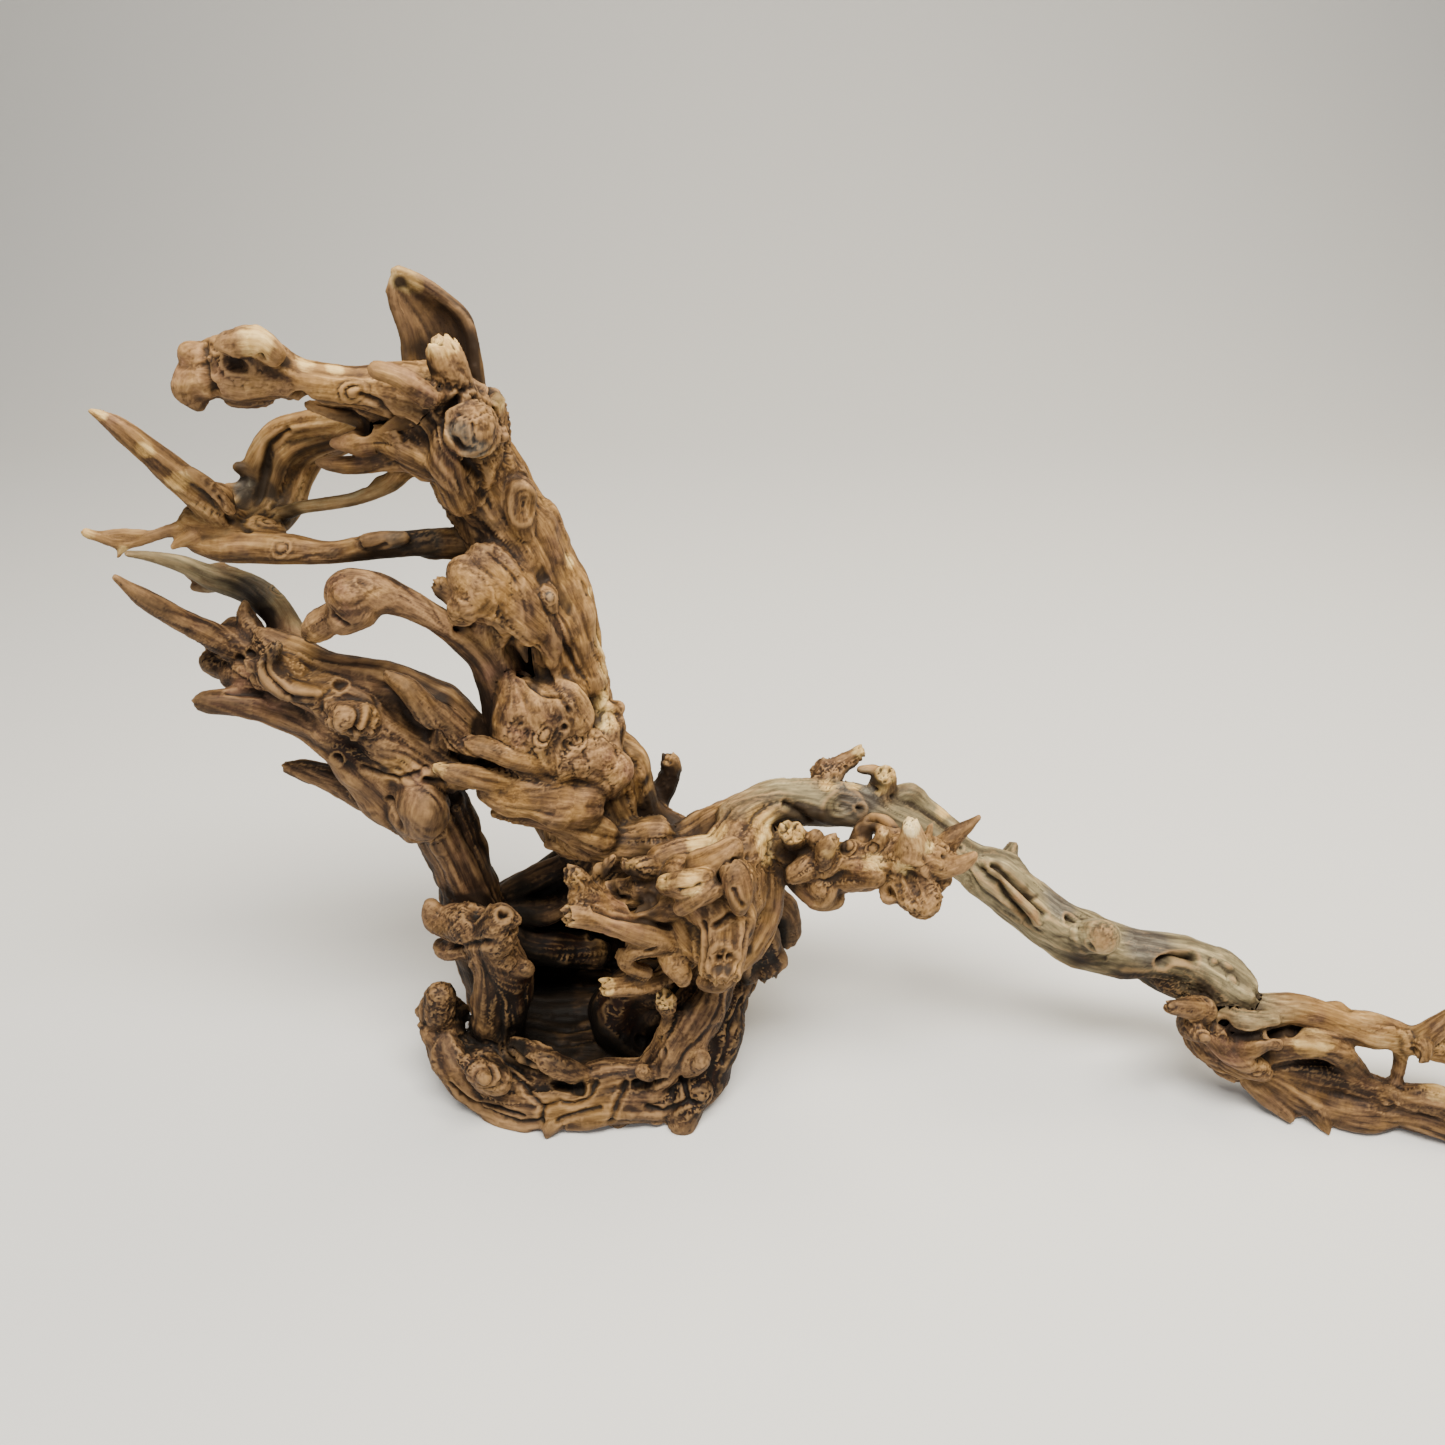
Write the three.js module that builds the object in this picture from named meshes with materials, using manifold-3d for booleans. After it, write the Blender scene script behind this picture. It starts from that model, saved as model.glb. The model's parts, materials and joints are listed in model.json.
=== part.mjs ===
// Coral wood: one grown, weathered root and branch piece, split at its main forks.
// Millimetres, +Z up. The origin is the middle of the flat sole of the root bowl,
// +X runs along the long branch and +Y to the back.

import * as THREE from 'three';
import { mergeVertices } from 'three/addons/utils/BufferGeometryUtils.js';
import { ImprovedNoise } from 'three/addons/math/ImprovedNoise.js';
import Module from 'manifold-3d';

const wasm = await Module();
wasm.setup();
const noise = new ImprovedNoise();

// Driving dimensions
const SOLE_Z = 0;
const SAW_BLOCK = 1200;
const GAP = 0.3;
const LUMP_SIZE = 11;
const LUMP_SHARE = 0.16;
const END_REACH = 0.6;
const END_WIDTH = 0.5;
const THICK_LIMB = 9;
const THIN_LIMB = 5.9;
const THICK_SIDES = 6;
const MIDDLE_SIDES = 5;
const THIN_SIDES = 4;
const MELT = 1.4;
const RAY_STEP = 0.8;
const RAY_HALVINGS = 7;
const THINNEST = 2.5;
const SLANTED = 0.6;
const STEEP = 1.15;
const BOX_SHARE = 3;
const ROUGHNESS = 0.75;

// The place in the endless noise that the lumps are taken from
const NOISE_AT = new THREE.Vector3(7, 11, 13);

// Every limb is a list of stations down its middle: x, y, z and the radius there.

// The block that the trunk, the cave's roof and the long branch grow out of
const ROOT_BURL = {
  spine: [[76, 4, 119, 9], [68, -4, 112, 10], [62, -18, 106, 11], [60, -30, 97, 11], [60, -40, 88, 9]],
  sides: 12,
  rings: 8,
  reach: 26,
  lumps: {
    core: [[67, -6, 113, 12], [64, -18, 109, 14], [62, -26, 102, 14], [61, -32, 93, 12],
      [60, -38, 87, 10]],
    right: [[68, 2, 117, 8], [75, -8, 112, 8], [78, -16, 102, 7.5], [77, -22, 89, 7],
      [72, -28, 80, 6.5]],
    left: [[49, -12, 111, 8], [45, -24, 105, 9.5], [46, -32, 97, 8.5], [51, -36, 88, 7.5]],
    rear: [[42, 0, 105, 8], [53, 2, 110, 8.5], [65, 4, 115, 9], [74, 6, 119, 8]],
    heel: [[62, 16, 100, 13], [72, 8, 94, 11], [74, -6, 84, 9]],
    snout: [[61, -40, 104, 8.5], [60, -47, 98, 7.5], [60, -54, 95, 6.5], [59, -58, 94, 5]],
    patch: [[40, -42, 121, 4.5], [46, -46, 125, 5], [54, -44, 125, 4.5]],
    patchFold: [[45, -46, 114, 3.5], [52, -49, 122, 4], [57, -47, 124, 3]],
    patchRoot: [[50, -30, 110, 8], [48, -38, 117, 7]],
    brow: [[52, -34, 123, 6], [58, -36, 128, 5.5], [63, -33, 130, 5]],
    cheek: [[64, -45, 130, 5], [66, -49, 123, 5], [66, -49, 116, 3]],
    cheekRoot: [[64, -32, 114, 9], [65, -40, 122, 7]],
    pocketBack: [[42, -24, 104, 8], [36, -26, 105, 6.5], [28, -28, 107, 6]],
    bridge: [[36, -20, 114, 6], [44, -18, 117, 5.5], [52, -16, 116, 6]],
    lowLump: [[46, -38, 86, 7], [39, -42, 84, 4.5], [44, -46, 81, 4.3], [45, -46, 76, 3]],
    snoutLip: [[53, -46, 75, 3.5], [59, -50, 78, 3.5], [64, -48, 80, 3]],
    snoutLipRoot: [[60, -38, 84, 7], [59, -44, 79, 5]],
  },
  limbs: {
    palm: [[46, -34, 99, 7], [36, -37, 98, 6], [26, -43, 105, 4.5]],
    hornA: [[45, -34, 107, 7], [34, -38, 104, 5], [24, -42, 106, 4.5], [16, -44, 113, 4.5],
      [11, -46, 123, 4], [7, -48, 131, 3.8]],
    paleLump: [[40, -20, 108, 7], [36, -22, 110, 6], [29, -28, 117, 5], [24, -31, 122, 3]],
    hornB: [[49, -34, 85, 6], [39, -40, 92, 5], [29, -46, 101, 4.5], [19, -50, 110, 4.3],
      [11, -54, 117, 4], [6, -56, 120, 3.2]],
    hook: [[34, -42, 91, 3.6], [27, -46, 94, 3.1], [23, -46, 90, 2.5], [25, -45, 83, 2.3],
      [30, -42, 76, 2.8]],
    hornC: [[46, -30, 72, 6], [36, -36, 67, 4.4], [26, -43, 71, 4.6], [20, -48, 75, 4.3],
      [16, -50, 77, 3.8]],
  },
};

// The hollow root bowl that the piece stands on, with its sawn flat sole
const ROOT_BOWL = {
  spine: [[8, 14, -12, 20], [8, 14, 14, 20], [8, 16, 40, 20], [12, 18, 70, 20], [18, 18, 98, 20]],
  sides: 24,
  rings: 11,
  reach: 92,
  flatEnds: true,
  lumps: {
    rimLow: [[-60, -22, 28, 8], [-57, -30, 20, 9.5], [-50, -38, 14, 10.5], [-39, -43, 7, 10],
      [-25, -47, 5, 10.5], [-10, -49, 7, 10], [4, -49, 8, 10], [18, -48, 9, 10.5], [32, -46, 7, 11],
      [43, -42, 6, 11.5], [52, -36, 11, 12.5]],
    rimHigh: [[-57, -26, 15, 7], [-46, -34, 16, 8], [-33, -40, 16, 8], [-17, -44, 13, 7],
      [-1, -45, 15, 7], [13, -44, 18, 7], [27, -44, 19, 7], [39, -42, 24, 8.5], [49, -36, 27, 10]],
    rimSlab: [[-26, -40, 31, 4], [-15, -46, 31, 5.5], [-4, -48, 26, 5.5], [5, -46, 17, 4]],
    rimNoseRoot: [[-36, -44, 16, 8], [-34, -50, 24, 6]],
    footMiddle: [[17, -50, 2, 6.5], [17, -54, 1, 3.5]],
    footRight: [[45, -48, 6, 7.5], [42, -51, 3, 5], [41, -54, 1, 3]],
    wallRight: [[52, -36, 11, 12.5], [56, -28, 25, 13], [59, -18, 34, 12.5], [65, -8, 42, 11],
      [70, 0, 50, 10]],
    wallMiddle: [[34, -44, 21, 8.5], [42, -41, 35, 10.5], [50, -34, 45, 11], [55, -26, 51, 10],
      [60, -24, 66, 9]],
    wallKnobUpper: [[49, -48, 28, 4.6], [52, -54, 37, 3.6]],
    wallKnobLower: [[48, -48, 10, 5.5], [52, -53, 16, 4]],
    wallShelf: [[35, -48, 22, 4], [28, -53, 31, 3.6]],
    lobesRoot: [[62, -4, 72, 12], [72, -8, 62, 9]],
    floorFront: [[-40, -28, 4, 15], [0, -34, 2, 16], [40, -28, 4, 16]],
    floorMiddle: [[-44, -4, 3, 16], [0, -8, 0, 17], [48, -4, 3, 18]],
    floorBack: [[-38, 20, 5, 17], [0, 24, 3, 18], [42, 20, 5, 18]],
    backLeft: [[-42, 14, 16, 16], [-44, 20, 38, 13], [-36, 21, 54, 10], [-22, 23, 62, 9],
      [-6, 24, 72, 10], [10, 20, 88, 12], [24, 14, 102, 13]],
    backMiddle: [[-18, 34, 12, 17], [-14, 38, 36, 16], [-4, 36, 56, 14], [12, 28, 76, 14],
      [22, 22, 92, 12]],
    backRight: [[22, 36, 12, 19], [30, 38, 40, 19], [34, 32, 66, 17], [34, 20, 90, 14]],
    backSide: [[54, 16, 12, 17], [60, 12, 40, 17], [60, 6, 66, 16], [56, 0, 88, 15]],
    backFoot: [[-24, 46, 8, 12], [-28, 54, 6, 8], [-34, 58, 3, 4]],
    backKnob: [[40, 46, 30, 12], [46, 54, 36, 7], [48, 58, 40, 4]],
  },
  limbs: {
    rimEar: [[-57, -20, 28, 9], [-60, -25, 34, 7.5], [-58, -28, 42, 6.5], [-56, -28, 49, 5]],
    rimNose: [[-31, -52, 24, 6.5], [-38, -54, 34, 5], [-44, -52, 38, 2.5]],
    footSpike: [[-7, -52, 6, 7], [-10, -58, 5, 4.6], [-12, -61, 1, 1.8]],
    lobes: [[70, -10, 74, 8], [74, -12, 67, 8], [78, -14, 56, 7.5], [80, -16, 48, 5.5]],
    backLobe: [[72, 4, 74, 9], [85, 4, 68, 6], [87, 4, 56, 5.3], [88, 4, 48, 3]],
    candle: [[44, -22, 34, 8], [42, -30, 34, 5], [39, -38, 47, 3.8], [38, -44, 63, 4.4]],
    rootUpper: [[-40, 6, 66, 6], [-34, 10, 68, 4.5], [-27, 14, 70, 5.3], [-19, 18, 72, 5.6],
      [-9, 20, 76, 5.5], [4, 20, 84, 7]],
    rootMiddle: [[-40, 4, 60, 6], [-31, 6, 62, 5.5], [-20, 8, 60, 7], [-9, 12, 62, 6], [0, 20, 66, 8]],
    rootLower: [[-31, 2, 51, 6], [-21, 6, 43, 8.5], [-10, 10, 36, 9], [2, 12, 32, 9]],
  },
  hollows: {
    cave: [[-20, -22, 40, 12], [-8, -20, 30, 18], [10, -18, 28, 20], [26, -14, 36, 18],
      [34, -16, 52, 12]],
  },
};

// The trunk, leaning back from the burl up to the crown
const TRUNK = {
  spine: [[10, 14, 96, 20], [3, 12, 128, 20], [0, 10, 170, 14], [0, 8, 200, 12], [-4, 8, 222, 12],
    [-14, 7, 242, 13], [-21, 3, 262, 12], [-26, 0, 280, 10]],
  sides: 11,
  rings: 16,
  reach: 26,
  lumps: {
    core: [[5, 12, 113, 23], [1, 12, 142, 21], [0, 10, 170, 17], [0, 8, 195, 14], [-2, 8, 214, 13.5],
      [-9, 8, 231, 15.5], [-17, 8, 247, 15], [-22, 5, 261, 14], [-25, 2, 274, 12]],
    rightStrand: [[16, 22, 106, 14], [10, 20, 142, 11.5], [8, 15, 172, 7.5], [8, 12, 199, 7],
      [4, 12, 218, 7], [-4, 12, 238, 6.5], [-11, 12, 255, 6.5], [-17, 10, 269, 6]],
    backStrand: [[6, 30, 112, 12], [0, 27, 150, 9], [-4, 22, 184, 8], [-4, 18, 214, 7],
      [-14, 18, 244, 6]],
    backKnot: [[-2, 24, 166, 9], [-4, 34, 172, 6]],
    drip: [[0, -6, 220, 5], [-1, -4, 208, 5.4], [-2, -2, 194, 5]],
    pitRim: [[-5, -2, 256, 5.3], [-7, -2, 247, 5.7], [-6, 0, 236, 4.5]],
    crown: [[-22, 0, 267, 13.5], [-25, -2, 279, 13], [-31, -2, 285, 11]],
    jowl: [[-31, -4, 269, 10], [-39, -6, 273, 8.4], [-46, -4, 276, 6.6]],
    crownRight: [[-15, 4, 266, 5.6], [-12, 4, 276, 4.7], [-13, 6, 284, 3.7]],
    crownEye: [[-16, -16, 281, 8.3], [-16, -16, 278, 7.2]],
    scale: [[-24, -14, 277, 5.3], [-25, -12, 267, 6], [-24, -8, 255, 5.6]],
    burlUpper: [[-11, -8, 220, 9], [-21, -12, 227, 6.6], [-24, -14, 232, 4.4]],
    burlMiddle: [[-18, -14, 219, 6.4], [-25, -18, 223, 5.7], [-29, -18, 218, 3]],
    lobe: [[-10, -8, 156, 12], [-14, -10, 175, 10], [-14, -10, 186, 6.5]],
    lobeFront: [[2, -8, 172, 10.5], [2, -10, 180, 8.3]],
    cheekUpper: [[13, 0, 153, 10], [18, 0, 162, 6.5]],
    snoutKnot: [[12, -2, 140, 12], [19, -6, 148, 7.5]],
    edgeKnot: [[14, 4, 164, 6], [21, 4, 168, 3]],
    ledgeMiddle: [[5, -8, 135, 13], [-9, -16, 143, 10], [-20, -18, 144, 7], [-27, -18, 146, 4.8]],
    ledgeLower: [[12, -8, 118, 9], [-4, -16, 130, 5.2], [-19, -16, 133, 4.1], [-26, -16, 134, 2.6]],
    bumpUpper: [[-14, 2, 280, 4], [-10, 0, 285, 2.6]],
  },
  limbs: {
    leaf: [[-34, -4, 270, 7], [-47, -4, 268, 5], [-55, -6, 266, 3.7], [-62, -6, 266, 3.2],
      [-68, -6, 267, 1.8]],
    stub: [[-20, -4, 281, 7.5], [-21, -9, 292, 6], [-23, -10, 304, 4.5]],
    burlTip: [[-10, -4, 215, 9], [-22, -10, 218, 6], [-28, -10, 221, 4.5], [-35, -10, 226, 3.6]],
    paleSpike: [[-10, -10, 146, 9], [-21, -16, 150, 7], [-29, -22, 155, 4.7], [-37, -24, 159, 3.9],
      [-43, -24, 161, 2.3]],
    ledgeUpper: [[-2, -14, 156, 5.6], [-15, -20, 162, 4.1], [-27, -20, 167, 4.1], [-33, -18, 165, 2.8]],
    jaw: [[33, -4, 112, 10], [13, -4, 108, 6.7], [2, -6, 111, 4.4], [-9, -6, 110, 2.4]],
    backStub: [[25, 20, 104, 10], [27, 26, 103, 9.5], [35, 26, 113, 6.5], [39, 26, 123, 5],
      [38, 26, 128, 4.2]],
    foot: [[18, 14, 136, 12], [25, 16, 110, 10.5], [39, 14, 97, 9.5], [53, 10, 97, 7]],
  },
};

// The thin upright blade on the crown
const CROWN_FIN = {
  spine: [[-29, 11, 279, 8], [-29, 13, 294, 7], [-31, 15, 308, 5], [-36, 13, 318, 3]],
  sides: 10,
  rings: 6,
  reach: 16,
  lumps: {
    leftEdge: [[-38, 8, 281, 5], [-39, 10, 292, 3], [-39, 12, 304, 2.4], [-39, 12, 312, 2.4],
      [-38, 12, 319, 2.8]],
    rightEdge: [[-22, 10, 279, 5], [-19, 12, 292, 3.2], [-19, 14, 302, 2.7], [-20, 14, 308, 2.6],
      [-26, 14, 313, 2.4], [-33, 14, 318, 2.6], [-38, 12, 319, 2.6]],
    web: [[-33, 16, 278, 7], [-34, 17, 289, 6], [-34, 18, 299, 5], [-34, 17, 309, 4],
      [-36, 15, 315, 3]],
    webRight: [[-24, 16, 280, 6], [-25, 18, 290, 6], [-26, 19, 300, 5], [-28, 18, 308, 3.6]],
  },
};

// The arm that reaches left from the crown to a blunt knobbed end
const CROWN_ARM = {
  spine: [[-28, -4, 284, 9], [-42, -7, 288, 7], [-58, -10, 293, 5], [-70, -13, 296, 7],
    [-82, -15, 298, 9], [-91, -15, 297, 8]],
  sides: 8,
  rings: 9,
  reach: 15,
  lumps: {
    core: [[-31, -4, 285, 10], [-39, -6, 289, 8.5], [-48, -8, 291, 6.7], [-58, -10, 293, 5.8],
      [-67, -12, 295, 6.6], [-75, -14, 298, 9.5], [-84, -14, 298, 10.4], [-90, -14, 297, 8.2]],
    knob: [[-27, -16, 291, 4.6], [-34, -20, 298, 3.6], [-40, -20, 300, 3]],
    brow: [[-68, -22, 305, 3.8], [-71, -24, 309, 4.1], [-79, -24, 308, 3.7]],
    browRoot: [[-76, -16, 300, 8], [-74, -20, 305, 5]],
    tipUpper: [[-84, -14, 299, 8], [-88, -16, 301, 5.6], [-94, -16, 303, 4.2]],
  },
  limbs: {
    tipLower: [[-91, -16, 296, 6.8], [-96, -18, 296, 5.4], [-97, -18, 293, 4.7], [-95, -18, 289, 2.7]],
    under: [[-39, -2, 278, 7.2], [-51, -2, 282, 5.4], [-60, -2, 283, 3.8], [-68, -4, 285, 2.1]],
  },
};

// The ribbon that curls down behind the arm, and the thin strut beside it
const CURL = {
  spine: [[-62, 14, 271, 6], [-78, 19, 267, 6], [-89, 20, 258, 6], [-95, 18, 248, 6], [-99, 9, 240, 5]],
  sides: 10,
  rings: 9,
  reach: 18,
  lumps: {
    leftStrand: [[-64, 14, 274, 5], [-78, 16, 272, 4.3], [-89, 18, 268, 4.6], [-97, 18, 259, 4.7],
      [-101, 17, 250, 4.8], [-107, 8, 243, 5]],
    middleStrand: [[-64, 18, 269, 5.8], [-79, 20, 265, 6.2], [-88, 20, 260, 6.3], [-94, 19, 250, 6],
      [-98, 14, 243, 6], [-99, 7, 240, 5.6]],
    rightStrand: [[-68, 22, 265, 5.2], [-80, 24, 260, 5.5], [-86, 22, 251, 4.8], [-89, 17, 243, 4.6],
      [-91, 9, 240, 4]],
    nubUpper: [[-98, 17, 254, 4], [-103, 14, 258, 2.3]],
    nubLower: [[-101, 15, 249, 4], [-107, 12, 252, 1.8]],
  },
  limbs: {
    root: [[-44, 2, 278, 6], [-56, 10, 276, 6], [-66, 17, 270, 6]],
    strut: [[-40, 2, 264, 5], [-44, 2, 262, 4.2], [-48, 0, 258, 3.5], [-59, 0, 253, 2.5],
      [-70, 2, 250, 2.5], [-81, 6, 247, 2.5], [-88, 8, 244, 2.8], [-94, 10, 242, 4]],
  },
};

// The thin cross bar from the trunk and the two horns at its far end
const CROSS_BAR = {
  limbs: {
    bar: [[-20, 8, 234, 5], [-33, 4, 235, 5.5], [-42, 0, 237, 4.7], [-51, -2, 237, 4.4],
      [-60, -3, 236, 4.2], [-71, -4, 235, 4], [-84, -4, 236, 5], [-97, -4, 237, 5.8],
      [-107, -4, 237, 5.1], [-115, -4, 238, 3.3]],
    junction: [[-91, 2, 239, 4.4], [-100, 2, 242, 5.8], [-109, 0, 244, 6.7], [-115, 0, 245, 6]],
    hornUpper: [[-105, 2, 242, 5.2], [-107, -2, 252, 6.5], [-112, -6, 261, 5.2], [-118, -10, 272, 4.3],
      [-124, -14, 282, 3.3], [-129, -16, 287, 1.8]],
    hornLeft: [[-115, -2, 243, 4.3], [-122, -4, 243, 2.5], [-130, -6, 241, 2.2], [-137, -8, 240, 2.3],
      [-142, -10, 243, 2], [-146, -12, 246, 1.7]],
  },
};

// The heavy side arm left of the trunk, with its horns and the rear limb
const SIDE_ARM = {
  spine: [[-22, 8, 146, 10], [-42, 0, 152, 12], [-60, -5, 162, 12], [-76, -7, 176, 10],
    [-90, -6, 190, 8], [-100, -2, 197, 6]],
  sides: 11,
  rings: 10,
  reach: 26,
  lumps: {
    root: [[-54, -2, 148, 12], [-38, 4, 146, 12], [-18, 10, 144, 12]],
    top: [[-34, -4, 159, 8.6], [-41, -6, 174, 8.7], [-52, -6, 182, 8], [-67, -6, 186, 7.7],
      [-81, -6, 191, 7], [-92, -6, 197, 7], [-99, -4, 200, 6.5]],
    middle: [[-39, -6, 148, 10], [-52, -10, 161, 12], [-65, -12, 173, 11], [-78, -12, 183, 9.5],
      [-90, -12, 189, 8], [-95, -12, 198, 5.6]],
    lowRoot: [[-54, -6, 128, 13.4], [-64, -10, 145, 13], [-74, -12, 161, 10.5], [-84, -12, 172, 8.3]],
    back: [[-44, 6, 146, 12], [-58, 4, 160, 11], [-72, 2, 174, 9], [-86, 2, 186, 7.5],
      [-97, 4, 196, 6]],
    flap: [[-38, -14, 168, 7], [-43, -20, 182, 5], [-49, -20, 192, 4], [-55, -18, 195, 2.6]],
    ball: [[-52, -16, 143, 11.4], [-54, -18, 137, 10.6], [-57, -14, 125, 6.5]],
    eye: [[-65, -22, 180, 6], [-71, -24, 182, 6.4]],
    fold: [[-91, -18, 207, 3.4], [-96, -19, 199, 4.2], [-90, -21, 192, 3.6], [-81, -20, 189, 3.2]],
    foldRoot: [[-90, -12, 194, 7], [-94, -16, 200, 4]],
    stub: [[-100, -10, 186, 5], [-100, -18, 196, 3], [-101, -20, 203, 2.2]],
  },
  limbs: {
    lowHorn: [[-76, -11, 166, 8], [-84, -12, 172, 8.3], [-97, -12, 177, 6.6], [-109, -14, 182, 5.4],
      [-119, -16, 184, 4.6], [-124, -16, 184, 3.2]],
    horn: [[-75, -8, 139, 8.8], [-87, -8, 144, 6], [-97, -6, 146, 5.2], [-105, -6, 148, 2.6]],
    plate: [[-106, 2, 195, 6.2], [-114, 4, 199, 7], [-121, 4, 189, 6.7], [-123, -2, 191, 4.1]],
    spike: [[-106, 0, 196, 6], [-114, -4, 200, 6], [-119, -8, 207, 4.8], [-125, -12, 215, 4],
      [-131, -16, 224, 3.1], [-136, -20, 234, 1.3]],
    rearLimb: [[-95, 4, 197, 6.4], [-99, 10, 202, 5.6], [-106, 14, 209, 5.6], [-114, 16, 213, 5.5],
      [-123, 16, 216, 4.7], [-131, 14, 222, 3.5], [-139, 10, 227, 2.3], [-145, 6, 230, 1.6]],
  },
};

// The bent limb between the trunk and the side arm
const ELBOW = {
  limbs: {
    limb: [[-19, -2, 164, 8.6], [-22, -4, 181, 6.7], [-24, -6, 195, 6.5], [-30, -8, 205, 6],
      [-38, -12, 215, 4.8], [-47, -14, 222, 5.4], [-54, -16, 227, 6.8], [-62, -18, 229, 7.8]],
    chin: [[-62, -18, 224, 7], [-67, -18, 220, 5.3]],
    ball: [[-66, -16, 220, 5], [-76, -14, 213, 5.7], [-80, -12, 209, 3.9]],
  },
};

// The striated prop under the side arm
const PROP = {
  limbs: {
    shaft: [[-53, -4, 129, 13], [-48, -4, 112, 11.6], [-45, -4, 97, 11], [-44, -2, 80, 12],
      [-44, 0, 63, 13], [-43, 0, 42, 12.8], [-42, 2, 12, 12.7]],
  },
};

// The short pillar at the mouth of the cave
const PILLAR = {
  spine: [[-40, -20, 3, 13], [-36, -22, 21, 12], [-32, -24, 44, 12], [-31, -24, 64, 11],
    [-35, -25, 80, 10], [-36, -26, 88, 8]],
  sides: 9,
  rings: 9,
  reach: 20,
  lumps: {
    shaft: [[-40, -20, 3, 13.7], [-36, -22, 21, 12.6], [-32, -24, 44, 12], [-31, -24, 64, 11.4],
      [-35, -24, 77, 11], [-41, -24, 84, 9.4]],
    head: [[-30, -28, 84, 10], [-25, -30, 93, 6.7], [-20, -30, 92, 2.8]],
    chin: [[-39, -24, 73, 6.8], [-52, -22, 68, 5], [-55, -20, 68, 3.4]],
    cheek: [[-25, -28, 65, 5.6], [-19, -28, 63, 3.8]],
  },
  limbs: {
    ear: [[-46, -20, 80, 8.4], [-55, -18, 82, 6], [-56, -18, 88, 3.4]],
  },
};

// The long grey branch that comes down on the right
const LONG_BRANCH = {
  spine: [[72, 0, 120, 9], [92, 7, 121, 9], [122, 8, 115, 8], [152, 4, 100, 9], [180, -4, 82, 11],
    [209, -11, 64, 11], [238, -15, 58, 9], [262, -20, 54, 10], [272, -24, 49, 9]],
  sides: 8,
  rings: 14,
  reach: 16,
  lumps: {
    upper: [[66, -2, 119, 9], [79, 4, 122, 8.8], [92, 7, 121, 9.2], [106, 8, 119, 9],
      [122, 8, 115, 8.5], [137, 6, 109, 8.2], [152, 4, 99, 8.6], [164, 2, 92, 9.6], [176, -1, 87, 11]],
    lower: [[168, -2, 92, 11], [182, -5, 81, 11.2], [196, -8, 70, 11.5], [209, -11, 64, 12],
      [224, -13, 59, 11], [238, -15, 59, 9.5], [252, -17, 58, 9.8], [263, -20, 54, 11.2],
      [272, -24, 49, 10.6]],
    ridge: [[126, 12, 116, 5], [136, 13, 121, 4.8], [141, 12, 116, 4.5], [149, 9, 111, 4],
      [156, 7, 106, 3.6]],
    knot: [[208, -18, 72, 8], [213, -24, 78, 6.2]],
    backNub: [[178, 6, 88, 6], [182, 14, 92, 3.4]],
    underLobe: [[232, -14, 54, 7], [238, -14, 50, 6], [247, -20, 47, 6.7], [257, -23, 46, 6.4]],
  },
  limbs: {
    stub: [[99, 12, 122, 6], [106, 19, 130, 5], [112, 21, 133, 4], [116, 21, 137, 3.1]],
    knob: [[124, 11, 120, 6], [125, 11, 129, 5], [125, 9, 133, 4.2]],
  },
};

// The cluster of cut knobs, sockets and spikes in the crook of the branch
const BRANCH_KNOBS = {
  spine: [[84, -8, 109, 8], [98, -19, 110, 8], [114, -25, 114, 8], [130, -30, 120, 9],
    [140, -32, 122, 6]],
  sides: 8,
  rings: 7,
  reach: 17,
  lumps: {
    stem: [[80, -6, 110, 8], [84, -10, 108, 7.5], [92, -17, 109, 8.2], [102, -21, 109, 8],
      [112, -23, 111, 7.5], [121, -25, 114, 7]],
    mass: [[86, -14, 112, 8], [96, -20, 114, 8.5], [106, -24, 115, 8.5], [116, -26, 117, 8],
      [126, -28, 120, 8]],
    chin: [[90, -22, 106, 7], [97, -26, 101, 6], [103, -26, 100, 5]],
    lumpLow: [[98, -28, 108, 6.3], [99, -29, 103, 4.5], [95, -29, 100, 2.8]],
    cone: [[108, -27, 114, 7], [114, -34, 119, 5], [117, -37, 120, 3.4], [119, -38, 122, 1.6]],
    core: [[124, -26, 119, 7.5], [130, -30, 125, 8.5], [136, -32, 125, 7.8], [142, -32, 123, 5.7]],
    bigSocket: [[130, -32, 118, 8], [132, -36, 114, 8.5], [134, -40, 112, 7.2]],
    darkLobe: [[124, -32, 114, 6], [122, -38, 112, 3.6]],
    socket: [[110, -20, 118, 5], [107, -26, 126, 3]],
    socketRight: [[118, -22, 120, 4.5], [116, -27, 125, 3]],
  },
  limbs: {
    cutKnob: [[89, -14, 116, 5], [86, -23, 130, 4.9]],
    ball: [[96, -18, 117, 5], [95, -22, 127, 3.4]],
    stub: [[99, -26, 114, 5], [98, -30, 129, 3.4], [101, -32, 134, 2.4]],
    palePeg: [[118, -24, 120, 4], [119, -28, 135, 2.2]],
    loop: [[112, -16, 112, 6], [115, -11, 123, 3.6], [121, -13, 126, 3.4], [128, -24, 122, 5]],
    top: [[130, -31, 124, 7], [129, -34, 134, 5.5], [127, -35, 144, 3.1]],
    lips: [[140, -34, 122, 4.5], [147, -37, 127, 3.4], [151, -37, 131, 2]],
    spike: [[140, -28, 124, 5], [146, -26, 131, 3.8], [150, -26, 135, 2.6], [154, -26, 140, 1.3]],
    underLobe: [[112, -20, 107, 5], [113, -12, 99, 5], [117, -9, 93, 3.6]],
  },
};

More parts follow.
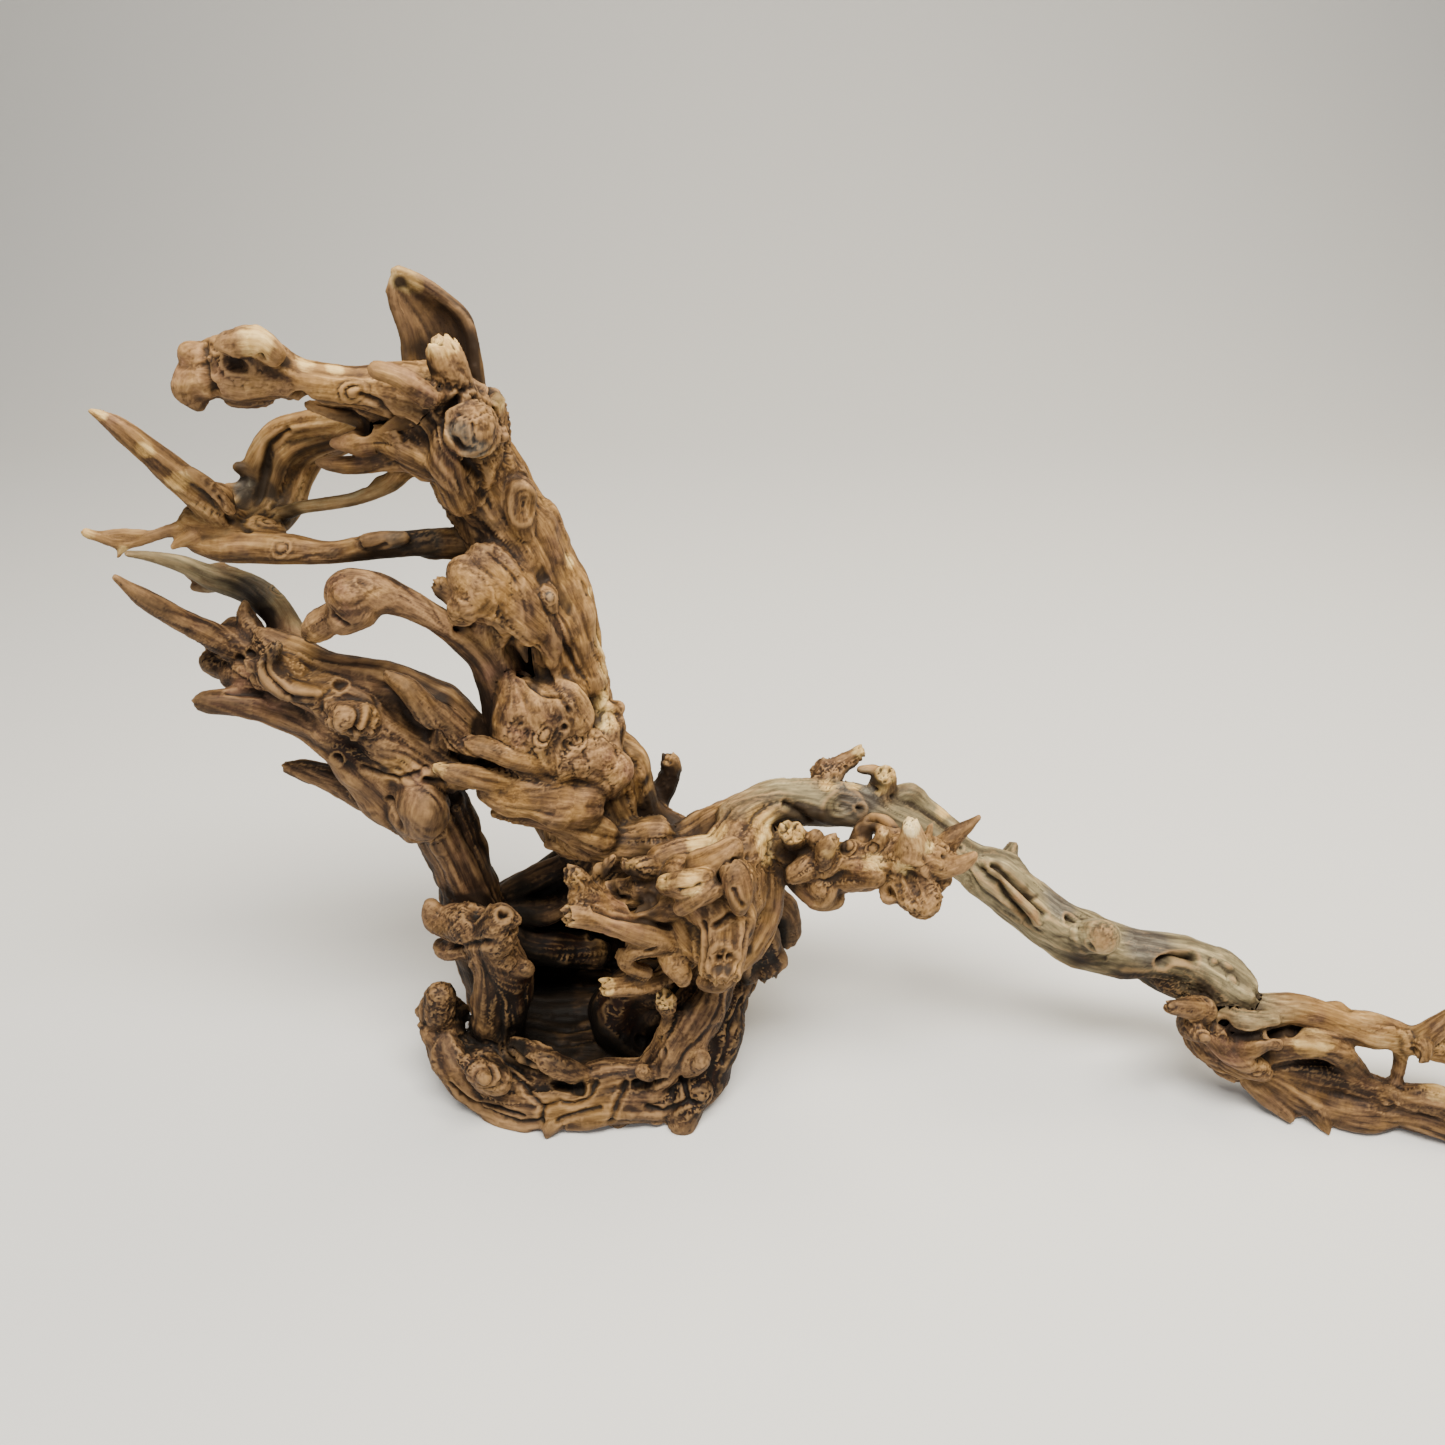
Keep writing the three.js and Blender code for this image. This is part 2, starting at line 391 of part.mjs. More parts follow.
// The lower fork at the end of the branch, which lies on the ground
const LOWER_TIP = {
  spine: [[258, -25, 42, 9], [266, -32, 27, 9], [286, -40, 15, 8], [308, -48, 8, 7], [329, -52, 8, 7],
    [349, -56, 9, 7], [368, -61, 6, 5], [388, -58, 4, 3]],
  sides: 7,
  rings: 13,
  reach: 21,
  lumps: {
    root: [[258, -24, 43, 9], [261, -28, 35, 9.5], [266, -32, 27, 9.7], [276, -35, 21, 9.4],
      [286, -38, 16, 8.4]],
    knob: [[254, -33, 40, 7], [251, -39, 40, 6.1], [253, -46, 43, 3]],
    lobeUpper: [[268, -38, 32, 6], [272, -44, 35, 5], [278, -46, 41, 3.7], [283, -46, 39, 2.7]],
    lobeLower: [[271, -40, 25, 6.5], [278, -46, 25, 5.3], [282, -46, 22, 4]],
    hollowBack: [[279, -34, 26, 7], [290, -37, 22, 7.5], [302, -41, 19, 7.5], [315, -44, 17, 7],
      [329, -48, 14, 6], [342, -52, 12, 5]],
    limb: [[287, -40, 14, 8.7], [297, -45, 10, 8.2], [308, -48, 7, 7.8], [318, -51, 6, 7.2],
      [329, -52, 6, 6.7], [340, -53, 6, 6.7], [349, -56, 6, 7.2], [357, -60, 6, 6.6],
      [368, -62, 5, 5.6], [380, -61, 4, 4.4], [390, -58, 3, 3]],
    edge: [[315, -54, 4, 4.5], [324, -58, 4, 4.1], [335, -57, 4, 3.4]],
    paleRidge: [[336, -51, 12, 5], [347, -55, 18, 6], [356, -58, 14, 5.5], [366, -60, 9, 4]],
  },
  limbs: {
    lobeLeft: [[255, -34, 46, 6], [243, -41, 55, 4.1], [236, -43, 58, 2.8]],
    spikeLeft: [[281, -43, 15, 5.5], [288, -46, 8, 5.4], [293, -50, 4, 4.3], [295, -54, 3, 2.2]],
    yellowLimb: [[286, -37, 22, 6], [292, -38, 27, 5.3], [300, -40, 29, 5.5], [309, -42, 27, 5.3],
      [318, -42, 22, 4.3], [325, -45, 18, 3.6], [331, -50, 13, 3.6]],
  },
};

// The upper fork at the end of the branch
const UPPER_TIP = {
  spine: [[264, -26, 38, 8], [284, -30, 42, 7], [306, -34, 43, 6], [322, -38, 39, 7], [340, -42, 37, 6],
    [358, -45, 33, 6], [371, -44, 30, 4]],
  sides: 6,
  rings: 9,
  reach: 13,
  lumps: {
    limb: [[264, -26, 38, 8.3], [274, -28, 37, 8.3], [284, -30, 42, 7.5], [295, -32, 45, 6.8],
      [306, -34, 43, 6.4], [315, -36, 40, 6.6], [322, -38, 39, 7.6], [328, -39, 39, 7.3],
      [335, -40, 38, 6.1]],
    belly: [[265, -34, 42, 5], [271, -40, 45, 5], [282, -38, 44, 4.2]],
    lumps: [[343, -42, 35, 5.6], [354, -44, 34, 6.2], [364, -45, 31, 5.2], [372, -44, 30, 3.4]],
  },
  limbs: {
    clump: [[334, -41, 37, 6.1], [340, -43, 38, 6.4], [345, -43, 45, 5], [353, -42, 53, 4.4],
      [360, -40, 60, 3]],
    stub: [[340, -44, 39, 5], [340, -49, 41, 3.8], [339, -52, 38, 2.8]],
    strut: [[336, -42, 35, 3.6], [338, -44, 25, 3], [337, -47, 18, 2.8], [334, -50, 17, 2.2]],
  },
};

// Points and turned axes down the middle of a limb: rings of a cylinder sit on them.
function ringsAlong(stations, count) {
  const points = stations.map(([x, y, z]) => new THREE.Vector3(x, y, z));
  const path = new THREE.CatmullRomCurve3(points, false, 'centripetal');
  const rings = [];
  for (let i = 0; i <= count; i += 1) {
    const t = i / count;
    const radius = stations[Math.round(t * (stations.length - 1))][3];
    rings.push({ point: path.getPoint(t), axis: path.getTangent(t).negate(), radius, tilt: 0 });
  }
  return rings;
}

// Each ring is turned from the one before by the least turn, so that the sides run straight.
function turnRings(rings) {
  const turn = new THREE.Quaternion().setFromUnitVectors(new THREE.Vector3(0, 1, 0), rings[0].axis);
  rings[0].turn = turn.clone();
  for (let i = 1; i < rings.length; i += 1) {
    turn.premultiply(new THREE.Quaternion().setFromUnitVectors(rings[i - 1].axis, rings[i].axis));
    rings[i].turn = turn.clone();
  }
}

// A cylinder whose vertices are moved one by one: place gets the ring, the way out from it,
// and 0 for a wall vertex, or 1 or -1 for the middle of the first or last cap.
function bentCylinder(rings, sides, place) {
  turnRings(rings);
  const geometry = new THREE.CylinderGeometry(1, 1, 1, sides, rings.length - 1);
  const position = geometry.attributes.position;
  const vertex = new THREE.Vector3();
  for (let i = 0; i < position.count; i += 1) {
    vertex.fromBufferAttribute(position, i);
    const cap = Math.hypot(vertex.x, vertex.z) < 0.5 ? Math.sign(vertex.y) : 0;
    const ring = rings[Math.round((0.5 - vertex.y) * (rings.length - 1))];
    vertex.y = 0;
    vertex.applyQuaternion(ring.turn);
    const { x, y, z } = place(ring, vertex, cap);
    position.setXYZ(i, x, y, z);
  }
  return solid(geometry);
}

// One limb: lumpy all over, and drawn in past its last station. grow makes it larger all round.
function limb(stations, grow) {
  const widest = Math.max(...stations.map((station) => station[3]));
  const sides = widest > THICK_LIMB ? THICK_SIDES : widest > THIN_LIMB ? MIDDLE_SIDES : THIN_SIDES;
  const rings = ringsAlong(stations, stations.length - 1);
  const last = rings[rings.length - 1];
  const reach = last.radius * END_REACH + grow;
  const tip = last.point.clone().addScaledVector(last.axis, -reach);
  rings.push({ point: tip, axis: last.axis, radius: last.radius * END_WIDTH, tilt: 0 });
  return bentCylinder(rings, sides, (ring, out, cap) => {
    if (cap !== 0) {
      return ring.point;
    }
    const place = out.clone().multiplyScalar(ring.radius).add(ring.point);
    const lump = 1 + LUMP_SHARE * lumpiness(place);
    return out.multiplyScalar(ring.radius * lump + grow).add(ring.point);
  });
}

// Soft random values from -1 to 1, in lumps of one size
function lumpiness(place) {
  const { x, y, z } = place.clone().divideScalar(LUMP_SIZE).add(NOISE_AT);
  return noise.noise(x, y, z);
}

// How far a point is from a limb's skin, less than 0 inside it
function limbDistance(point, stations) {
  let nearest = Infinity;
  for (let i = 1; i < stations.length; i += 1) {
    const [ax, ay, az, ar] = stations[i - 1];
    const [bx, by, bz, br] = stations[i];
    const along = new THREE.Vector3(bx - ax, by - ay, bz - az);
    const from = new THREE.Vector3(point.x - ax, point.y - ay, point.z - az);
    const t = THREE.MathUtils.clamp(from.dot(along) / along.lengthSq(), 0, 1);
    nearest = Math.min(nearest, from.addScaledVector(along, -t).length() - ar - t * (br - ar));
  }
  return nearest;
}

// The same for several limbs that melt into each other
function meltedDistance(point, lumps) {
  let sum = 0;
  for (const stations of lumps) {
    sum += Math.exp(-limbDistance(point, stations) / MELT);
  }
  return -MELT * Math.log(sum);
}

// The outermost place on a ray from the spine where the melted lumps have their skin
function skinAt(origin, out, reach, lumps) {
  const at = (distance) => meltedDistance(out.clone().multiplyScalar(distance).add(origin), lumps);
  let outside = reach;
  while (outside > RAY_STEP && at(outside - RAY_STEP) > 0) {
    outside -= RAY_STEP;
  }
  let inside = Math.max(outside - RAY_STEP, 0);
  for (let i = 0; i < RAY_HALVINGS; i += 1) {
    const middle = (inside + outside) / 2;
    if (at(middle) > 0) {
      outside = middle;
    } else {
      inside = middle;
    }
  }
  return Math.max(outside, THINNEST);
}

// A trunk-like body: a cylinder down the spine, its skin drawn out to the lumps round it
function lumpyBody({ spine, sides, rings: count, reach, lumps, flatEnds = false }, grow) {
  const limbs = Object.values(lumps);
  const rings = ringsAlong(spine, count);
  if (!flatEnds) {
    const first = rings[0];
    const last = rings[rings.length - 1];
    rings.unshift({ ...first, tilt: STEEP }, { ...first, tilt: SLANTED });
    rings.push({ ...last, tilt: -SLANTED }, { ...last, tilt: -STEEP });
  }
  return bentCylinder(rings, sides, (ring, out, cap) => {
    if (flatEnds && cap !== 0) {
      return ring.point;
    }
    out.multiplyScalar(Math.cos(ring.tilt)).addScaledVector(ring.axis, Math.sin(ring.tilt));
    if (cap !== 0) {
      out.copy(ring.axis).multiplyScalar(cap);
    }
    const skin = skinAt(ring.point, out, reach, limbs) + grow;
    return out.multiplyScalar(skin).add(ring.point);
  });
}

// A closed mesh as a solid that can be joined and cut
function solid(geometry) {
  geometry.deleteAttribute('normal');
  geometry.deleteAttribute('uv');
  const merged = mergeVertices(geometry);
  return new wasm.Manifold(new wasm.Mesh({
    numProp: 3,
    vertProperties: merged.attributes.position.array,
    triVerts: new Uint32Array(merged.index.array),
  }));
}

// The body and all limbs of one piece, fused
function fused(piece, grow) {
  const solids = Object.values(piece.limbs ?? {}).map((stations) => limb(stations, grow));
  if (piece.spine) {
    solids.unshift(lumpyBody(piece, grow));
  }
  return solids.reduce((whole, next) => whole.add(next));
}

// The same piece with its hollows taken out
function hollowed(whole, { hollows = {} }) {
  return Object.values(hollows).reduce((left, stations) => left.subtract(limb(stations, 0)), whole);
}

// Everything below the ground, sawn off every piece
const ground = new THREE.BoxGeometry(SAW_BLOCK, SAW_BLOCK, SAW_BLOCK);
ground.translate(0, 0, SOLE_Z - SAW_BLOCK / 2);
const saw = solid(ground);

// The body of a piece without loose chips and without sealed pockets
function mainBody(whole) {
  const bodies = whole.decompose();
  return bodies.reduce((largest, next) => (next.volume() > largest.volume() ? next : largest));
}

// Wood colours: brown heartwood, tan edges, and the weathered grey of the long branch
const HEARTWOOD = 0x8b6a45;
const DARK_WOOD = 0x76583a;
const TAN_WOOD = 0xa98353;
const GREY_WOOD = 0x8d8463;

// The pieces from the root outwards: each one is cut to fit those before it.
const PIECES = [
  ['root_burl', ROOT_BURL, TAN_WOOD],
  ['root_bowl', ROOT_BOWL, DARK_WOOD],
  ['trunk', TRUNK, HEARTWOOD],
  ['side_arm', SIDE_ARM, HEARTWOOD],
  ['prop', PROP, HEARTWOOD],
  ['pillar', PILLAR, DARK_WOOD],
  ['crown_arm', CROWN_ARM, TAN_WOOD],
  ['crown_fin', CROWN_FIN, TAN_WOOD],
  ['elbow', ELBOW, HEARTWOOD],
  ['cross_bar', CROSS_BAR, GREY_WOOD],
  ['curl', CURL, GREY_WOOD],
  ['long_branch', LONG_BRANCH, GREY_WOOD],
  ['branch_knobs', BRANCH_KNOBS, TAN_WOOD],
  ['lower_tip', LOWER_TIP, HEARTWOOD],
  ['upper_tip', UPPER_TIP, TAN_WOOD],
];

// The box round all stations of a piece, with room for its lumps and gaps
function reachBox({ lumps = {}, limbs = {} }) {
  const box = new THREE.Box3();
  for (const [x, y, z, radius] of [...Object.values(lumps), ...Object.values(limbs)].flat()) {
    const middle = new THREE.Vector3(x, y, z);
    const size = new THREE.Vector3().setScalar(BOX_SHARE * radius);
    box.union(new THREE.Box3().setFromCenterAndSize(middle, size));
  }
  return box;
}

const coralWood = new THREE.Group();
const placed = [];
for (const [name, piece, color] of PIECES) {
  const box = reachBox(piece);
  let body = hollowed(fused(piece, 0), piece).subtract(saw);
  for (const earlier of placed) {
    if (earlier.box.intersectsBox(box)) {
      body = body.subtract(earlier.clearance);
    }
  }
  const { vertProperties, triVerts } = mainBody(body).getMesh();
  const geometry = new THREE.BufferGeometry();
  geometry.setAttribute('position', new THREE.BufferAttribute(vertProperties, 3));
  geometry.setIndex(new THREE.BufferAttribute(triVerts, 1));
  const material = new THREE.MeshStandardMaterial({ color, roughness: ROUGHNESS, metalness: 0 });
  const mesh = new THREE.Mesh(geometry, material);
  mesh.name = name;
  coralWood.add(mesh);
  placed.push({ box, clearance: fused(piece, GAP) });
}

export default coralWood;
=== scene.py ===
import json
import math

import bmesh
import bpy
import numpy as np
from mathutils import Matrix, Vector


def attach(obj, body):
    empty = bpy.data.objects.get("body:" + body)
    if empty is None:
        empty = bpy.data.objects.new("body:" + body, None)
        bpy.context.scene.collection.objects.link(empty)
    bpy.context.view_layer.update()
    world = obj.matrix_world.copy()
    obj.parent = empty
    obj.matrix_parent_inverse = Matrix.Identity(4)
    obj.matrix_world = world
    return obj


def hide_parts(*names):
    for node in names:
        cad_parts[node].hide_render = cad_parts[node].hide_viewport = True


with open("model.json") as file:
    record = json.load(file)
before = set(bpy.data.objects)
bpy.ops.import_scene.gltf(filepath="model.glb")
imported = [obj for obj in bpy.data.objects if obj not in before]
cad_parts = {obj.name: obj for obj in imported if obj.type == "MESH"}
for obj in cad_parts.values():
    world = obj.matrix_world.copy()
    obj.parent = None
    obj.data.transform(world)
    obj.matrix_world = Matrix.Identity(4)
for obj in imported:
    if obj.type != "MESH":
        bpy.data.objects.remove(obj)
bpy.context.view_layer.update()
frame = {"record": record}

MM = 0.001

# The limbs of the wood, as in the CAD model, with the smaller knobs that only show here.
# Each is a list of stations down its middle: x, y, z and the radius there, in millimetres.
LIMBS = {
    "root_burl": {
        "core": [(67, -6, 113, 12), (64, -18, 109, 14), (62, -26, 102, 14), (61, -32, 93, 12),
            (60, -38, 87, 10)],
        "right": [(68, 2, 117, 8), (75, -8, 112, 8), (78, -16, 102, 7.5), (77, -22, 89, 7),
            (72, -28, 80, 6.8), (66, -30, 72, 6.5), (61, -28, 66, 5)],
        "left": [(49, -12, 111, 8), (45, -24, 105, 9.5), (46, -32, 97, 8.5), (51, -36, 88, 7.5)],
        "rear": [(42, 0, 105, 8), (53, 2, 110, 8.5), (65, 4, 115, 9), (74, 6, 119, 8)],
        "heel": [(62, 16, 100, 13), (72, 8, 94, 11), (74, -6, 84, 9)],
        "snout": [(62, -34, 112, 9), (61, -41, 104, 9.2), (60, -48, 96, 9), (59, -53, 89, 8.4)],
        "patch": [(40, -42, 121, 4.5), (46, -46, 125, 5), (54, -44, 125, 4.5)],
        "patch_fold": [(45, -46, 114, 3.5), (52, -49, 122, 4), (57, -47, 124, 3)],
        "patch_root": [(50, -30, 110, 8), (48, -38, 117, 7)],
        "face": [(47, -30, 112, 11), (56, -35, 109, 12.5), (62, -38, 102, 12.5)],
        "face_low": [(47, -34, 96, 9), (52, -40, 90, 8)],
        "brow": [(52, -34, 123, 6), (58, -36, 128, 5.5), (63, -33, 130, 5)],
        "cheek": [(64, -45, 130, 5), (66, -49, 123, 5), (66, -49, 116, 3)],
        "cheek_root": [(64, -32, 114, 9), (65, -40, 122, 7)],
        "pocket_back": [(42, -24, 104, 8), (36, -26, 104, 7.8), (28, -26, 103, 7.6), (19, -25, 101, 7)],
        "bridge": [(36, -20, 114, 6), (44, -18, 117, 5.5), (52, -16, 116, 6)],
        "low_lump": [(46, -38, 86, 7), (39, -42, 84, 4.5), (44, -46, 81, 4.3), (45, -46, 76, 3)],
        "snout_lip": [(53, -46, 75, 3.5), (59, -50, 78, 3.5), (64, -48, 80, 3)],
        "snout_lip_root": [(60, -38, 84, 7), (59, -44, 79, 5)],
        "horn_a": [(45, -34, 107, 7), (34, -38, 104, 5), (24, -42, 106, 4.5), (16, -44, 113, 4.5),
            (11, -46, 123, 4), (7, -48, 131, 3.8)],
        "pale_lump": [(40, -20, 108, 7), (36, -22, 110, 6), (29, -28, 117, 5), (24, -31, 122, 3)],
        "horn_b": [(49, -34, 85, 6), (39, -40, 92, 5), (29, -46, 101, 4.5), (19, -50, 110, 4.3),
            (11, -54, 117, 4.3), (6, -56, 119, 4.2)],
        "hook": [(34, -42, 91, 4.8), (27, -46, 93, 4.2), (23, -46, 88, 3.8), (25, -45, 82, 3.3),
            (30, -42, 76, 3.6)],
        "horn_c": [(46, -30, 72, 6), (36, -36, 67, 4.4), (26, -43, 71, 4.6), (20, -48, 75, 4.3),
            (16, -50, 77, 3.8)],
        "horn_a_prong": [(16, -40, 114, 3.1), (14, -38, 120, 2.7), (18, -38, 127, 2.2), (21, -38, 131, 1.5)],
        "u_mass": [(36, -26, 105, 6.7), (28, -28, 107, 6)],
        "candle_foot": [(39, -40, 50, 3.1), (37, -42, 45, 2.9), (35, -42, 40, 2)],
    },
    "root_bowl": {
        "rim_low": [(-60, -22, 28, 8), (-57, -30, 20, 9.5), (-50, -38, 14, 10.5), (-39, -43, 7, 10),
            (-25, -47, 5, 10.5), (-10, -49, 7, 10), (4, -49, 8, 10), (18, -48, 9, 10.5), (32, -46, 7, 11),
            (43, -42, 6, 11.5), (52, -36, 11, 12.5)],
        "rim_high": [(-57, -26, 15, 7), (-46, -34, 16, 8), (-33, -40, 16, 8), (-17, -44, 13, 7),
            (-1, -45, 15, 7), (13, -44, 18, 7), (27, -44, 19, 7), (39, -42, 24, 8.5), (49, -36, 27, 10)],
        "rim_slab": [(-26, -40, 31, 4), (-15, -46, 31, 5.5), (-4, -48, 26, 5.5), (5, -46, 17, 4)],
        "rim_nose_root": [(-36, -44, 16, 8), (-34, -50, 24, 6)],
        "foot_middle": [(17, -50, 2, 6.5), (17, -54, 1, 3.5)],
        "foot_right": [(46, -42, 16, 9), (45, -49, 9, 8), (43, -55, 2, 6)],
        "wall_right": [(52, -36, 11, 12.5), (56, -28, 25, 13), (59, -18, 34, 12.5), (65, -8, 42, 11),
            (70, 0, 50, 10)],
        "wall_middle": [(34, -44, 21, 8.5), (42, -41, 35, 10.5), (50, -34, 45, 11), (55, -26, 51, 10),
            (60, -24, 66, 9)],
        "wall_knob_upper": [(47, -46, 27, 6), (51, -50, 35, 4.6)],
        "wall_knob_lower": [(47, -46, 10, 7), (51, -50, 15, 5.4)],
        "wall_shelf": [(35, -48, 22, 4), (28, -53, 31, 3.6)],
        "lobes_root": [(62, -4, 72, 12), (72, -8, 62, 9)],
        "floor_front": [(-40, -30, 2, 9), (0, -36, 1, 9), (40, -30, 2, 9)],
        "floor_middle": [(-46, -4, 1, 9), (0, -8, 0, 9), (50, -4, 1, 9)],
        "floor_back": [(-38, 24, 3, 12), (0, 28, 2, 12), (42, 24, 3, 12)],
        "back_left": [(-42, 14, 16, 16), (-44, 20, 38, 13), (-36, 21, 54, 10), (-22, 23, 62, 9),
            (-6, 24, 72, 10), (10, 20, 88, 12), (24, 14, 102, 13)],
        "back_middle": [(-18, 34, 12, 17), (-14, 38, 36, 16), (-4, 36, 56, 14), (12, 28, 76, 14),
            (22, 22, 92, 12)],
        "back_right": [(22, 36, 12, 19), (30, 38, 40, 19), (34, 32, 66, 17), (34, 20, 90, 14)],
        "back_fill": [(4, 38, 10, 13), (6, 39, 34, 13), (12, 34, 60, 12)],
        "back_side": [(54, 16, 12, 17), (60, 12, 40, 17), (60, 6, 66, 16), (56, 0, 88, 15)],
        "back_foot": [(-24, 46, 8, 12), (-28, 52, 6, 8), (-33, 55, 3, 3.5)],
        "back_knob": [(40, 45, 30, 12), (45, 52, 36, 6.5), (47, 55, 39, 3.5)],
        "rim_ear": [(-57, -20, 28, 9), (-60, -25, 34, 8), (-58, -28, 42, 7.5), (-56, -28, 48, 6.5)],
        "rim_ear_low": [(-58, -26, 22, 7.5), (-62, -31, 27, 5.5), (-64, -31, 32, 3.5)],
        "rim_nose": [(-31, -52, 24, 6.5), (-38, -54, 34, 5), (-44, -52, 38, 2.5)],
        "foot_spike": [(-7, -52, 6, 7), (-10, -58, 5, 4.6), (-12, -61, 1, 1.8)],
        "lobes": [(68, -10, 76, 9), (74, -13, 68, 9.5), (77, -14, 58, 8), (79, -16, 50, 6.5)],
        "lobes_fill": [(66, -12, 68, 8), (69, -16, 58, 7), (71, -18, 50, 5)],
        "lobes_knob": [(76, -14, 62, 6), (83, -16, 58, 4.5), (85, -17, 55, 3)],
        "back_lobe": [(72, 4, 76, 9), (84, 2, 70, 7.4), (87, 2, 60, 6.6), (88, 2, 51, 5.8)],
        "candle": [(44, -22, 34, 8), (42, -30, 34, 5), (39, -38, 47, 3.8), (38, -44, 63, 4.4)],
        "root_upper": [(-40, 6, 66, 6), (-34, 10, 68, 4.5), (-27, 14, 70, 5.3), (-19, 18, 72, 5.6),
            (-9, 20, 76, 5.5), (4, 20, 84, 7)],
        "root_middle": [(-40, 4, 60, 6), (-31, 6, 62, 5.5), (-20, 8, 60, 7), (-9, 12, 62, 6),
            (0, 20, 66, 8)],
        "root_lower": [(-31, 2, 51, 6), (-21, 6, 43, 8.5), (-10, 10, 36, 9), (2, 12, 32, 9)],
        "rim_knot": [(-36, -55, 28, 3.9), (-34, -60, 37, 2.4)],
        "wall_swirl": [(31, -28, 1, 10.3), (21, -20, 10, 11.8), (15, -16, 23, 12.6), (22, -14, 37, 11),
            (36, -16, 42, 10)],
        "wall_swirl_fill": [(26, -14, 18, 11), (31, -15, 27, 12), (37, -14, 34, 10)],
    },
    "trunk": {
        "core": [(5, 12, 113, 23), (1, 12, 142, 21), (0, 10, 170, 17), (0, 8, 195, 14), (-2, 8, 214, 13.5),
            (-9, 8, 231, 15.5), (-17, 8, 247, 15), (-22, 5, 261, 14), (-25, 2, 274, 12)],
        "outer_strand": [(16, 22, 106, 14), (10, 20, 142, 11.5), (8, 15, 172, 7.5), (8, 12, 199, 7),
            (4, 12, 218, 7), (-4, 12, 238, 6.5), (-11, 12, 255, 6.5), (-17, 10, 269, 6)],
        "back_strand": [(6, 30, 112, 12), (0, 27, 150, 9), (-4, 22, 184, 8), (-4, 18, 214, 7),
            (-14, 18, 244, 6)],
        "back_knot": [(-2, 24, 166, 9), (-4, 34, 172, 6)],
        "drip": [(0, -6, 220, 5), (-1, -4, 208, 5.4), (-2, -2, 194, 5)],
        "pit_rim": [(-5, -2, 256, 5.3), (-7, -2, 247, 5.7), (-6, 0, 236, 4.5)],
        "crown": [(-22, 0, 267, 13.5), (-25, -2, 279, 13), (-31, -2, 285, 11)],
        "jowl": [(-31, -4, 269, 10), (-39, -6, 273, 8.4), (-46, -4, 276, 6.6)],
        "crown_right": [(-15, 4, 266, 5.6), (-12, 4, 276, 4.7), (-13, 6, 284, 3.7)],
        "crown_eye": [(-16, -12, 281, 8), (-16, -12, 277, 7.2)],
        "scale": [(-24, -14, 277, 5.3), (-25, -12, 267, 6), (-24, -8, 255, 5.6)],
        "burl_upper": [(-8, -7, 210, 9), (-14, -11, 219, 8.8), (-20, -14, 227, 8), (-25, -14, 232, 5.8)],
        "burl_bank": [(0, -1, 204, 9), (-5, -3, 214, 10), (-11, -6, 224, 9.5), (-17, -8, 233, 8)],
        "burl_middle": [(-18, -14, 219, 6.4), (-25, -18, 223, 5.7), (-29, -18, 218, 3)],
        "lobe": [(-10, -8, 156, 12), (-14, -10, 175, 10), (-14, -10, 186, 6.5)],
        "lobe_front": [(2, -8, 172, 10.5), (2, -10, 180, 8.3)],
        "lobe_face": [(-8, -8, 150, 10.5), (2, -8, 157, 10.5), (11, -6, 154, 9.5), (16, -4, 148, 8)],
        "lobe_fill": [(-4, -9, 158, 11), (-6, -10, 170, 10.5), (-6, -10, 180, 8)],
        "cheek_upper": [(13, 0, 153, 10), (18, 0, 162, 6.5)],
        "snout_knot": [(12, -2, 140, 12), (19, -6, 148, 7.5)],
        "edge_knot": [(14, 4, 164, 6), (21, 4, 168, 3)],
        "ledge_middle": [(5, -8, 135, 13), (-9, -16, 143, 10), (-20, -18, 144, 7), (-27, -18, 146, 4.8)],
        "ledge_lower": [(12, -8, 118, 9), (-4, -16, 130, 5.2), (-19, -16, 133, 4.1), (-26, -16, 134, 2.6)],
        "bump_upper": [(-14, 2, 280, 4), (-10, 0, 285, 2.6)],
        "leaf": [(-34, -4, 270, 7), (-47, -4, 268, 5), (-55, -6, 266, 3.7), (-62, -6, 266, 3.2),
            (-68, -6, 267, 1.8)],
        "stub": [(-20, -4, 281, 7.5), (-21, -9, 292, 6), (-23, -10, 304, 4.5)],
        "burl_tip": [(-10, -4, 215, 9), (-22, -10, 218, 6), (-28, -10, 221, 4.5), (-35, -10, 226, 3.6)],
        "pale_spike": [(-10, -10, 146, 9), (-21, -16, 150, 7), (-29, -22, 155, 4.7), (-37, -24, 159, 3.9),
            (-43, -24, 161, 2.3)],
        "ledge_upper": [(-2, -14, 156, 5.6), (-15, -20, 162, 4.1), (-27, -20, 167, 4.1),
            (-33, -18, 165, 2.8)],
        "jaw": [(33, -4, 112, 10), (13, -4, 108, 6.7), (2, -6, 111, 4.4), (-9, -6, 110, 2.4)],
        "back_stub": [(25, 20, 104, 10), (27, 26, 103, 9.5), (35, 26, 113, 6.5), (39, 26, 123, 5),
            (38, 26, 128, 4.2)],
        "foot": [(18, 14, 136, 12), (25, 16, 110, 10.5), (39, 14, 97, 9.5), (53, 10, 97, 7)],
        "burl_ledge": [(-10, -14, 213, 4.4), (-18, -18, 219, 3.6), (-27, -18, 217, 2.6)],
        "cheek_c": [(18, 4, 167, 4.3), (21, 4, 168, 2.9)],
        "crown_bump_b": [(-11, -8, 277, 3), (-7, -8, 276, 1.8)],
    },
    "crown_fin": {
        "left_edge": [(-38, 8, 279, 4), (-39, 9, 290, 2.2), (-39, 10, 302, 1.7), (-41, 11, 312, 1.8),
            (-40, 12, 318, 2.2)],
        "right_edge": [(-20, 10, 279, 4.5), (-18, 11, 292, 2.8), (-18, 12, 301, 2.4), (-20, 13, 307, 2.6),
            (-25, 13, 312, 2.4), (-32, 13, 317, 2.4), (-38, 12, 320, 2.4)],
    },
    "crown_arm": {
